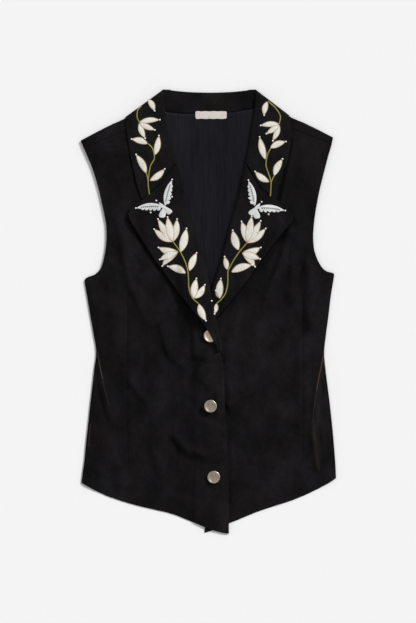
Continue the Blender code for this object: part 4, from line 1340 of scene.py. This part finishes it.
def put(name, points, faces, material, uvs):
    """A mesh from points and stitch or cloth coordinates in millimetres, on the garment."""
    mesh = bpy.data.meshes.new(name)
    spots = (np.asarray(points) - np.array([*CENTRE, 0.0])) * MILLI
    mesh.from_pydata(spots.tolist(), [], [list(map(int, face)) for face in faces])
    mesh.polygons.foreach_set("use_smooth", [True] * len(mesh.polygons))
    layer = mesh.uv_layers.new(name="cut")
    corners = np.zeros(len(mesh.loops), np.int32)
    mesh.loops.foreach_get("vertex_index", corners)
    layer.data.foreach_set("uv", (np.asarray(uvs) * MILLI)[corners].ravel())
    mesh.materials.append(material)
    mesh.update()
    item = shown(name, mesh)
    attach(item, "root")
    return item


def sheet(name, grid, wall, side, material, keep=None):
    """A grid of points as a thin shell in place of its solid."""
    rows, columns = grid.shape[:2]
    index = np.arange(rows * columns).reshape(rows, columns)
    a, b, c, d = index[:-1, :-1], index[:-1, 1:], index[1:, 1:], index[1:, :-1]
    quads = np.stack([a, b, c, d], axis=-1)
    quads = quads[keep] if keep is not None else quads.reshape(-1, 4)
    used, quads = np.unique(quads, return_inverse=True)
    across = np.linalg.norm(np.diff(grid, axis=1), axis=-1)
    down = np.linalg.norm(np.diff(grid, axis=0), axis=-1)
    u = np.concatenate([[0.0], np.cumsum(across.mean(axis=0))])
    v = np.concatenate([[0.0], np.cumsum(down.mean(axis=1))])
    uvs = np.stack(np.meshgrid(u, v), axis=-1).reshape(-1, 2)[used]
    item = put("cloth_" + name, grid.reshape(-1, 3)[used], quads.reshape(-1, 4), material, uvs)
    shell = item.modifiers.new("wall", "SOLIDIFY")
    shell.thickness = wall * MILLI
    shell.offset = float(side)
    shell.use_quality_normals = True
    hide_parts(name)


def shell_top(grid, wall, side):
    """The faces of a shell that a later piece can rest on."""
    across = np.gradient(grid, axis=1)
    down = np.gradient(grid, axis=0)
    normal = np.cross(across, down)
    size = np.linalg.norm(normal, axis=-1, keepdims=True)
    normal = normal / np.maximum(size, 1e-9) * side
    return grid_faces(grid + normal * wall)


def make_cap(name, x, y, height, material):
    """A domed snap cap with a rolled rim, turned about its own axis."""
    mesh = bpy.data.meshes.new("cap_" + name)
    shape = bmesh.new()
    last = None
    for radius, up in through(CAP[:-1], 48).tolist() + [CAP[-1]]:
        point = shape.verts.new((max(radius, 0.0) * MILLI, 0.0, up * MILLI))
        if last is not None:
            shape.edges.new((last, point))
        last = point
    bmesh.ops.spin(
        shape, geom=list(shape.verts) + list(shape.edges), cent=(0, 0, 0), axis=(0, 0, 1),
        angle=2 * math.pi, steps=72, use_merge=True, use_duplicate=False,
    )
    bmesh.ops.remove_doubles(shape, verts=list(shape.verts), dist=1e-6)
    bmesh.ops.recalc_face_normals(shape, faces=list(shape.faces))
    for face in shape.faces:
        face.smooth = True
    shape.to_mesh(mesh)
    shape.free()
    mesh.materials.append(material)
    item = shown("cap_" + name, mesh)
    item.location = ((x - CENTRE[0]) * MILLI, (y - CENTRE[1]) * MILLI, height * MILLI)
    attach(item, "root")
    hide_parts(name)


# Leaves and petals of the left lapel
LEAVES_LAPEL_LEFT = (
    # base x, base y, tip x, tip y, width, bend, lift
    (-55, 112, -86, 131, 11, 2.5, 0.0),
    (-56, 112, -80, 147, 11, 1.5, 0.1),
    (-56, 112, -50, 147, 11, -1.5, 0.0),
    (-57, 112, -65, 150, 12, 0.5, 0.3),
    (-44, 95, -35, 132, 12.5, -0.8, 0.0),
    (-48, 95, -79, 102, 11, 2.5, 0.0),
    (-49, 94, -73, 73, 10, -2.5, 0.0),
    (-49, 95, -77, 83, 11, -0.5, 0.3),
    (-36, 61, -64, 72, 11, -2.2, 0.0),
    (-30, 65, -19, 93, 10.5, 0.8, 0.0),
    (-22, 21, -6, 42, 9.5, -2.0, 0.0),
    (-23, 21, -19, 52, 11, 1.2, 0.3),
    (-15, 12, -4, -14, 10.5, -1.4, 0.0),
)

# Leaves and petals of the right lapel
LEAVES_LAPEL_RIGHT = (
    # base x, base y, tip x, tip y, width, bend, lift
    (61, 111, 53, 143, 11, -1.2, 0.0),
    (61, 110, 91, 132, 11, -2.5, 0.0),
    (62, 111, 83, 144, 11, -1.5, 0.1),
    (62, 111, 69, 151, 12, -0.5, 0.3),
    (48, 98, 39, 129, 12, 0.8, 0.0),
    (54, 93, 83, 102, 11, -2.5, 0.0),
    (55, 92, 74, 72, 10, 2.5, 0.0),
    (54, 93, 82, 84, 11, 0.5, 0.3),
    (37, 63, 69, 74, 11.5, 2.2, 0.0),
    (30, 67, 26, 87, 8, -0.6, 0.0),
    (17, 22, 12, 33, 6, -0.8, 0.0),
    (18, 21, 20, 52, 11, 1.0, 0.3),
    (13, 13, 10, -3, 6.5, 0.8, 0.0),
)

# Leaves on the left side of the collar
LEAVES_COLLAR_LEFT = (
    # base x, base y, tip x, tip y, width, bend, lift
    (-93, 209, -70, 227, 9.6, -1.8, 0.0),
    (-99, 221, -115, 250, 10, -1.5, 0.0),
    (-97, 268, -122, 275, 9.6, -1.6, 0.0),
    (-85, 250, -79, 280, 9.6, -1.0, 0.0),
    (-110, 301, -101, 277, 8.4, -1.2, 0.0),
    (-110, 302, -78, 306, 8.4, 1.6, 0.0),
    (-110, 301, -86, 290, 8.4, -0.4, 0.3),
    (-96, 339, -86, 321, 8.6, 1.2, 0.0),
)

# Leaves on the right side of the collar
LEAVES_COLLAR_RIGHT = (
    # base x, base y, tip x, tip y, width, bend, lift
    (97, 207, 75, 223, 9.6, 1.8, 0.0),
    (105, 217, 118, 243, 10, 1.5, 0.0),
    (91, 243, 82, 278, 10, 0.8, 0.0),
    (99, 261, 123, 271, 9.6, 1.6, 0.0),
    (113, 298, 103, 273, 8.4, 1.2, 0.0),
    (113, 299, 84, 297, 8.4, -1.2, 0.0),
    (113, 298, 93, 284, 8, 0.4, 0.3),
    (94, 335, 89, 314, 8.6, -1.2, 0.0),
)

# Stems, each a line of points
STEMS = (
    # piece, then x, y of each point
    ("lapel_left", -56, 111, -44, 94, -35, 74, -32, 60, -31, 39, -26, 23, -15, 12),
    ("lapel_right", 62, 110, 47, 92, 36, 74, 31, 62, 31, 48, 28, 31, 20, 19, 13, 13),
    ("collar_left", -94, 187, -96, 205, -93, 230, -86, 246, -89, 260, -96, 268),
    ("collar_left", -96, 206, -97, 213, -99, 222),
    ("collar_left", -110, 302, -114, 312, -113, 321, -107, 328),
    ("collar_right", 99, 184, 100, 205, 92, 234, 94, 249, 99, 260),
    ("collar_right", 100, 206, 102, 211, 105, 217),
    ("collar_right", 113, 299, 115, 311, 107, 325, 95, 336),
)

# Wings of the two butterflies, the last of each a body
WINGS = (
    # piece, base x, base y, tip x, tip y, width, bend, side of its lobes
    ("lapel_left", -72, 167, -115, 165, 10.5, -2.0, 1),
    ("lapel_left", -69, 168, -58, 210, 10.5, 1.5, -1),
    ("lapel_left", -71, 169, -75, 149.5, 10.5, 1.0, 0),
    ("lapel_left", -70, 169, -59.5, 156.5, 9.5, -1.0, 0),
    ("lapel_left", -79, 174, -63, 158, 5.5, 0.0, 0),
    ("lapel_right", 77, 165, 122, 161, 10.5, 2.0, -1),
    ("lapel_right", 74, 168, 64, 209, 10.5, -1.5, 1),
    ("lapel_right", 75, 167, 66, 154.5, 9.5, 1.0, 0),
    ("lapel_right", 76, 167, 78.5, 148, 10.5, -1.0, 0),
    ("lapel_right", 83, 173, 69, 156, 5.5, 0.0, 0),
)

# Single beads
BEADS = (
    # piece, x, y
    ("lapel_left", -83, 177),
    ("lapel_left", -92, 158),
    ("lapel_left", -58, 183),
    ("lapel_right", 85, 175),
    ("lapel_right", 96, 155),
    ("lapel_right", 65, 181),
    ("lapel_right", 5.4, 17),
)


class Work:
    """The points, faces and stitch coordinates of one thread on one piece."""

    def __init__(self):
        self.points = []
        self.faces = []
        self.uvs = []
        self.count = 0

    def add(self, points, faces, uvs):
        """Adds one motif's mesh."""
        self.faces += [[index + self.count for index in face] for face in faces]
        self.points.append(points)
        self.uvs.append(uvs)
        self.count += len(points)


def ring_faces(rings, sides, closed):
    """Faces between rings of points, and the two ends where they aren't joined."""
    faces = []
    last = rings if closed else rings - 1
    for i in range(last):
        k = (i + 1) % rings
        for j in range(sides):
            m = (j + 1) % sides
            faces.append([i * sides + j, k * sides + j, k * sides + m, i * sides + m])
    if not closed:
        faces.append(list(range(sides)))
        faces.append(list(range((rings - 1) * sides, rings * sides))[::-1])
    return faces


def leaf_lines(row, count):
    """A leaf's middle line, half widths, direction across, length and shares of length."""
    x0, y0, x1, y1, width, bend = row[:6]
    reach = np.array([x1 - x0, y1 - y0], float)
    length = float(np.hypot(*reach))
    across = np.array([-reach[1], reach[0]]) / length
    share = np.linspace(0.012, 0.988, count)
    bow = (4 * bend * share * (1 - share))[:, None] * across
    middle = np.array([x0, y0], float) + share[:, None] * reach + bow
    blunt = len(row) > 7
    half = share ** 1.2 * (1 - share) ** 0.4 if blunt else share ** 0.9 * (1 - share)
    return middle, half / half.max() * width / 2, across, length, share


def add_leaf(work, field, row, rise, sink=0.3):
    """A padded satin-stitch leaf: a closed cushion that follows the cloth."""
    middle, half, across, length, share = leaf_lines(row, 22)
    over = np.cos(np.linspace(0.0, math.pi, 9))
    plan = middle[:, None, :] + over[None, :, None] * half[:, None, None] * across
    base = tops.at(field, plan)
    swell = np.sqrt(np.clip(1 - over ** 2, 0, 1)) * (half / half.max())[:, None] ** 0.4
    upper = with_height(plan, base + row[6] + rise * swell)
    lower = with_height(plan, base - sink)[:, -2:0:-1]
    ring = np.concatenate([upper, lower], axis=1)
    lengthwise = np.broadcast_to((share * length)[:, None], ring.shape[:2])
    sideways = np.concatenate([over, over[-2:0:-1]]) * half[:, None]
    uvs = np.stack([lengthwise, sideways], axis=-1)
    work.add(ring.reshape(-1, 3), ring_faces(*ring.shape[:2], False), uvs.reshape(-1, 2))


def add_cord(work, field, plan, radius, lift, flat, closed):
    """A laid cord or stem stitch along plan points, following the cloth."""
    if closed:
        way = np.roll(plan, -1, axis=0) - np.roll(plan, 1, axis=0)
    else:
        way = np.gradient(plan, axis=0)
    way = way / np.maximum(np.linalg.norm(way, axis=1, keepdims=True), TINY)
    side = np.stack([-way[:, 1], way[:, 0]], axis=1)
    height = tops.at(field, plan) + lift
    sides = 8
    ring = np.zeros((len(plan), sides, 3))
    for k in range(sides):
        turn = 2 * math.pi * k / sides
        ring[:, k, :2] = plan + side * radius * math.cos(turn)
        ring[:, k, 2] = height + radius * flat * math.sin(turn)
    u, v = np.meshgrid(run(plan), np.arange(sides) * radius * 0.8, indexing="ij")
    uvs = np.stack([u, v], axis=-1).reshape(-1, 2)
    work.add(ring.reshape(-1, 3), ring_faces(len(plan), sides, closed), uvs)


def add_edge(work, field, row):
    """A cord laid round a leaf."""
    middle, half, across, _, _ = leaf_lines(row, 26)
    left = middle + half[:, None] * across
    right = middle - half[:, None] * across
    plan = np.concatenate([left, right[::-1]])
    add_cord(work, field, plan, EDGE_RADIUS, 0.28 + row[6], 0.85, True)


def add_bead(work, field, x, y):
    """A round bead sewn on the cloth."""
    rings, sides = 9, 14
    height = float(tops.at(field, np.array([x, y], float))) + BEAD_RADIUS * 0.72
    ring = np.zeros((rings, sides, 3))
    for i in range(rings):
        turn = math.pi * (i + 0.35) / (rings - 0.3)
        width = BEAD_RADIUS * math.sin(turn)
        for k in range(sides):
            spin = 2 * math.pi * k / sides
            ring[i, k, :2] = (x + width * math.cos(spin), y + width * math.sin(spin))
        ring[i, :, 2] = height - BEAD_RADIUS * math.cos(turn)
    points = ring.reshape(-1, 3)
    faces = [face[::-1] for face in ring_faces(rings, sides, False)]
    work.add(points, faces, points[:, :2])


def closed_over(field):
    """The height field with its narrow gaps bridged."""
    for best in (np.maximum, np.minimum):
        for axis in range(2):
            field = best.reduce([moved(field, axis, step) for step in (-1, 0, 1)])
    return field


def carried_out(field, cells):
    """The height field carried a little past the edges of what it covers."""
    for _ in range(cells):
        near = [moved(field, axis, step) for axis in range(2) for step in (-1, 1)]
        field = np.where(field > 0.0, field, np.maximum.reduce(near))
    return field


def tip_of(row, past):
    """The point a little past a leaf's tip."""
    way = np.array([row[2] - row[0], row[3] - row[1]], float)
    return np.array([row[2], row[3]]) + unit(way) * past


def add_lobes(works, field, row, lobes):
    """The lobes along a wing's lower side, its dark vein and the marks beside it."""
    middle, half, across, length, _ = leaf_lines(row, 40)
    lengthwise = np.array([row[2] - row[0], row[3] - row[1]]) / length
    for at, reach in ((4, 5.8), (10, 6.2), (16, 5.4), (22, 4.6), (28, 3.2)):
        foot = middle[at] + across * lobes * half[at] * 0.25
        head = foot + across * lobes * reach + lengthwise * 4.6
        lobe = (foot[0], foot[1], head[0], head[1], 5.6, 0.0, 0.05)
        add_leaf(works["wings"], field, lobe, LEAF_RISE)
    for at in range(7, 32, 3):
        foot = middle[at] - across * lobes * 0.2
        head = foot + across * lobes * (1.6 + 0.7 * math.sin(at * 2.1)) + lengthwise * 1.3
        mark = (foot[0], foot[1], head[0], head[1], 1.1, 0.0, 0.85)
        add_leaf(works["marks"], field, mark, 0.25, 0.1)
    add_cord(works["marks"], field, middle[6:33], 0.34, 0.98, 0.7, False)


def embroider(place_name, rows, field):
    """All the work on one place: leaves, edges, stems, wings and beads."""
    works = {kind: Work() for kind in THREADS}
    for row in rows:
        add_leaf(works["leaves"], field, row, LEAF_RISE)
        add_edge(works["edges"], field, row)
        add_bead(works["beads"], field, *tip_of(row, BEAD_PAST_TIP))
    for piece, *points in STEMS:
        if piece == place_name:
            line = through(np.array(points, float).reshape(-1, 2), 12 * len(points))
            add_cord(works["stems"], field, line, STEM_RADIUS, 0.25, 0.6, False)
    for piece, x0, y0, x1, y1, width, bend, lobes in WINGS:
        if piece != place_name:
            continue
        row = (x0, y0, x1, y1, width, bend, 0.1)
        if not lobes and width > TAIL_WIDTH:
            row += (1.0,)
        add_leaf(works["wings"], field, row, LEAF_RISE)
        if lobes:
            add_lobes(works, field, row, lobes)
            add_bead(works["beads"], field, *tip_of(row, BEAD_PAST_TIP))
    for piece, x, y in BEADS:
        if piece == place_name:
            add_bead(works["beads"], field, x, y)
    made = []
    for kind, work in works.items():
        if work.points:
            points, uvs = np.concatenate(work.points), np.concatenate(work.uvs)
            made.append(put(place_name + "_" + kind, points, work.faces, THREADS[kind], uvs))
    return made


def settled(height, passes):
    """Heights eased along the length and width, nowhere below what they were."""
    eased = height
    for _ in range(passes):
        for axis in range(2):
            eased = sum(moved(eased, axis, step) for step in range(-2, 3)) / 5
        eased = np.maximum(eased, height - 0.15)
    return eased


def curled(lapel, lift):
    """The lapel with its outer edge standing a little off the front and its lower end narrowed."""
    leaf = lapel[:, -7 * FINE - 1:]
    share = np.linspace(0.0, 1.0, leaf.shape[1])[None, :]
    down = np.linspace(0.0, 1.0, leaf.shape[0])[:, None]
    narrow = NARROW_PART * smooth_step((down - NARROW_START) / (1.0 - NARROW_START))[..., None]
    leaf[..., :2] -= narrow * (leaf[..., :2] - leaf[:, :1, :2])
    rise = smooth_step((share - LIFT_START) / (1.0 - LIFT_START)) * smooth_step((1.0 - down) / 0.25)
    soft = ripple(leaf[..., :2], 7.0, 58.0, 0.45) + 0.3
    leaf[..., 2] += lift * rise + np.maximum(soft, 0.0) * np.sin(math.pi * share)
    return lapel


def raised(points, rise):
    """The points moved straight up."""
    return points + np.array([0.0, 0.0, rise])


def turned_about(x, y, profile, steps):
    """Points of a profile of radii and heights, turned about an upright axis."""
    turns = np.linspace(0.0, 2 * math.pi, steps)[:, None]
    radius, up = np.array(profile, float).T
    height = np.broadcast_to(up, (steps, len(up)))
    return np.stack([x + radius * np.cos(turns), y + radius * np.sin(turns), height], axis=-1)


def label_points():
    """The label's plan points, with soft corners and a slight wave along its edges."""
    x0, y0, x1, y1 = LABEL_BOX
    across, up = np.meshgrid(np.linspace(x0, x1, 60), np.linspace(y0, y1, 20))
    plan = np.stack([across, up], axis=-1)
    from_middle = (plan - plan[10, 30]) / (0.5 * np.array([x1 - x0, y1 - y0]))
    worn_x = 0.8 + 0.7 * from_middle[..., 1] ** 8
    worn_y = 0.35 + 0.5 * from_middle[..., 0] ** 24 + 0.22 * np.sin(across * 0.45 + 0.8)
    return plan - from_middle * np.stack([worn_x, worn_y], axis=-1)


tops = Ground()

# Back, and the lining on it
back_grid, way, seam = make_back(leaf_ground())
back_grid[-1, :, :2] -= way * SHOULDER_OUT
plain = Ground()
plain.lay(*grid_faces(back_grid))
lining_grid = make_lining(plain)
lining_grid[..., 2] = settled(lining_grid[..., 2], 3 * FINE)
sheet("back_lining", lining_grid, LINING_WALL, 1, satin("satin lining"))
inner = plain.copy()
inner.lay(*grid_faces(raised(lining_grid, LINING_WALL)))
full_back, keep = finish_back(back_grid, way, seam, inner)
sheet("back", full_back, BACK_WALL, -1, suede("back suede", 0.1), keep)
lips = raised(full_back[len(back_grid) + 2:], BACK_WALL)

# Right front and its lapel, below
right_leg = make_leg(LAPEL_RIGHT, -1.0, inner)
ground = inner.copy()
ground.lay(*grid_faces(right_leg))
right_grid = make_front(FRONT_RIGHT, HEM_RIGHT, SEAM_R[::-1], ground, FOLDS_RIGHT)
right_suede = suede("right suede", 0.2, (DART_RIGHT,), GLINTS_RIGHT, SHADE_LINES_RIGHT)
sheet("front_right", right_grid, FRONT_WALL, -1, right_suede)
ground.lay(*shell_top(right_grid, FRONT_WALL, -1))
right_lapel = make_lapel(right_leg, LAPEL_RIGHT, GORGE_RIGHT, -1.0, ground)
right_lapel = curled(right_lapel, CURL_RIGHT)
for_collar = ground.copy()
ground.lay(*shell_top(right_lapel, LAPEL_WALL, -1))

# Left front and its lapel, on top
left_leg = make_leg(LAPEL_LEFT, 1.0, ground)
ground.lay(*grid_faces(left_leg))
left_grid = make_front(FRONT_LEFT, HEM_LEFT, SEAM_L, ground, FOLDS_LEFT)
left_suede = suede("left suede", 0.0, (DART_LEFT,), GLINTS_LEFT, SHADE_LINES_LEFT)
sheet("front_left", left_grid, FRONT_WALL, 1, left_suede)
left_top = shell_top(left_grid, FRONT_WALL, 1)
ground.lay(*left_top)
for_collar.lay(*left_top)

# Snap caps, the first given a lighter copy of the same metal as a painted brighter reflection, and
# partly under the left lapel
pewter = metal("pewter", 0.82)
# A lighter copy of the same metal, a painted brighter reflection on the first cap
highlit = metal("pale pewter", 1.3)
seat_rings = ((0.0, 0.0), (0.5 * CAP_RADIUS, 0.0), (CAP_RADIUS, 0.0))
for number, (x, y) in enumerate(SNAPS):
    under_cap = turned_about(x, y, seat_rings, 25)
    seat = float(ground.at(ground.cover(RASTER, 0.0), under_cap).max()) + 0.05
    make_cap(f"snap_{number + 1}", x, y, seat, pewter if number else highlit)
    if number == 0:
        ground.lay(*grid_faces(raised(turned_about(x, y, CAP, 25), seat)))
left_lapel = make_lapel(left_leg, LAPEL_LEFT, GORGE_LEFT, 1.0, ground)
left_lapel = curled(left_lapel, CURL_LEFT)

# Collar
rows = collar_rows()
inner.lay(*grid_faces(back_stand(rows)))
for stand in (lips[:, :LIP_CELLS + 1], lips[:, -LIP_CELLS - 1:], *make_stand_front(rows, inner)):
    for_collar.lay(*grid_faces(stand))
collar_grid = make_collar(rows, inner, for_collar)

# Label over the neck seam
stand_band = collar_grid[12 * FINE:-12 * FINE, :2 * FINE + 1]
inner.lay(*grid_faces(raised(stand_band, COLLAR_WALL)))
label_plan = label_points()
label_grid = with_height(label_plan, laid(inner, label_plan, 6.0, 4.0))
sheet("label", label_grid, LABEL_WALL, 1, woven("woven cream"), None)

# Embroidery on the lapels and the collar
for grid, wall, side in (
    (right_lapel, LAPEL_WALL, -1),
    (left_lapel, LAPEL_WALL, 1),
    (collar_grid, COLLAR_WALL, -1),
):
    tops.lay(*shell_top(grid, wall, side))
surface = carried_out(closed_over(tops.top), 4)
THREADS = {
    "leaves": thread("ivory thread", (0.52, 0.49, 0.43), (0.83, 0.81, 0.745), 0.55),
    "edges": thread("beige cord", (0.27, 0.19, 0.105), (0.52, 0.41, 0.265), 0.6, 1.4),
    "stems": thread("olive thread", (0.12, 0.11, 0.008), (0.31, 0.30, 0.035), 0.55, 1.2),
    "wings": thread("white thread", (0.46, 0.46, 0.46), (0.74, 0.75, 0.75), 0.5),
    "marks": thread("black thread", (0.008, 0.008, 0.009), (0.03, 0.03, 0.03), 0.6),
    "beads": pearl("pearl"),
}
on_left = embroider("lapel_left", LEAVES_LAPEL_LEFT, surface)
on_right = embroider("lapel_right", LEAVES_LAPEL_RIGHT, surface)
on_collar = embroider("collar_left", LEAVES_COLLAR_LEFT, surface)
on_collar += embroider("collar_right", LEAVES_COLLAR_RIGHT, surface)
for name, grid, wall, side, cloth, turn, rests, extra in (
    ("lapel_right", right_lapel, LAPEL_WALL, -1, "right lapel suede", 0.3, "front_right", on_right),
    ("lapel_left", left_lapel, LAPEL_WALL, 1, "left lapel suede", 0.4, "front_left", on_left),
    ("collar", collar_grid, COLLAR_WALL, -1, "collar suede", 0.5, "back", on_collar),
):
    sheet(name, grid, wall, side, suede(cloth, turn), None)

# Floor, light and camera
floor_mesh = bpy.data.meshes.new("floor")
corners = [(-6, -6, 0), (6, -6, 0), (6, 6, 0), (-6, 6, 0)]
floor_mesh.from_pydata(corners, [], [(0, 1, 2, 3)])
paper, tree, shader = blank("floor paper")
grain = noise(tree, place(tree), 300.0, 2.0)
fill(tree, shader, {
    "Base Color": ramp(tree, grain, 0.2, 0.8, (0.855, 0.855, 0.855), (0.865, 0.865, 0.865)),
    "Roughness": 0.9,
    "Specular IOR Level": 0.1,
})
floor_mesh.materials.append(paper)
floor = shown("floor", floor_mesh)
floor.location = (0.0, 0.0, -0.0003)

world = bpy.data.worlds.new("studio")
bpy.context.scene.world = world
world.use_nodes = True
sky = world.node_tree.nodes["Background"]
fill(world.node_tree, sky, {"Color": WHITE, "Strength": SKY})

sun_data = bpy.data.lights.new("key", "SUN")
sun_data.energy = SUN
sun_data.angle = math.radians(16.0)
sun = shown("key", sun_data)
sun.rotation_mode = "QUATERNION"
sun.rotation_quaternion = Vector(SUN_WAY).to_track_quat("-Z", "Y")

camera_data = bpy.data.cameras.new("camera")
camera_data.lens = CAMERA_LENS
camera_data.sensor_width = 36.0
camera = shown("camera", camera_data)
camera.location = CAMERA_PLACE
bpy.context.scene.camera = camera
bpy.context.scene.view_settings.view_transform = "Standard"
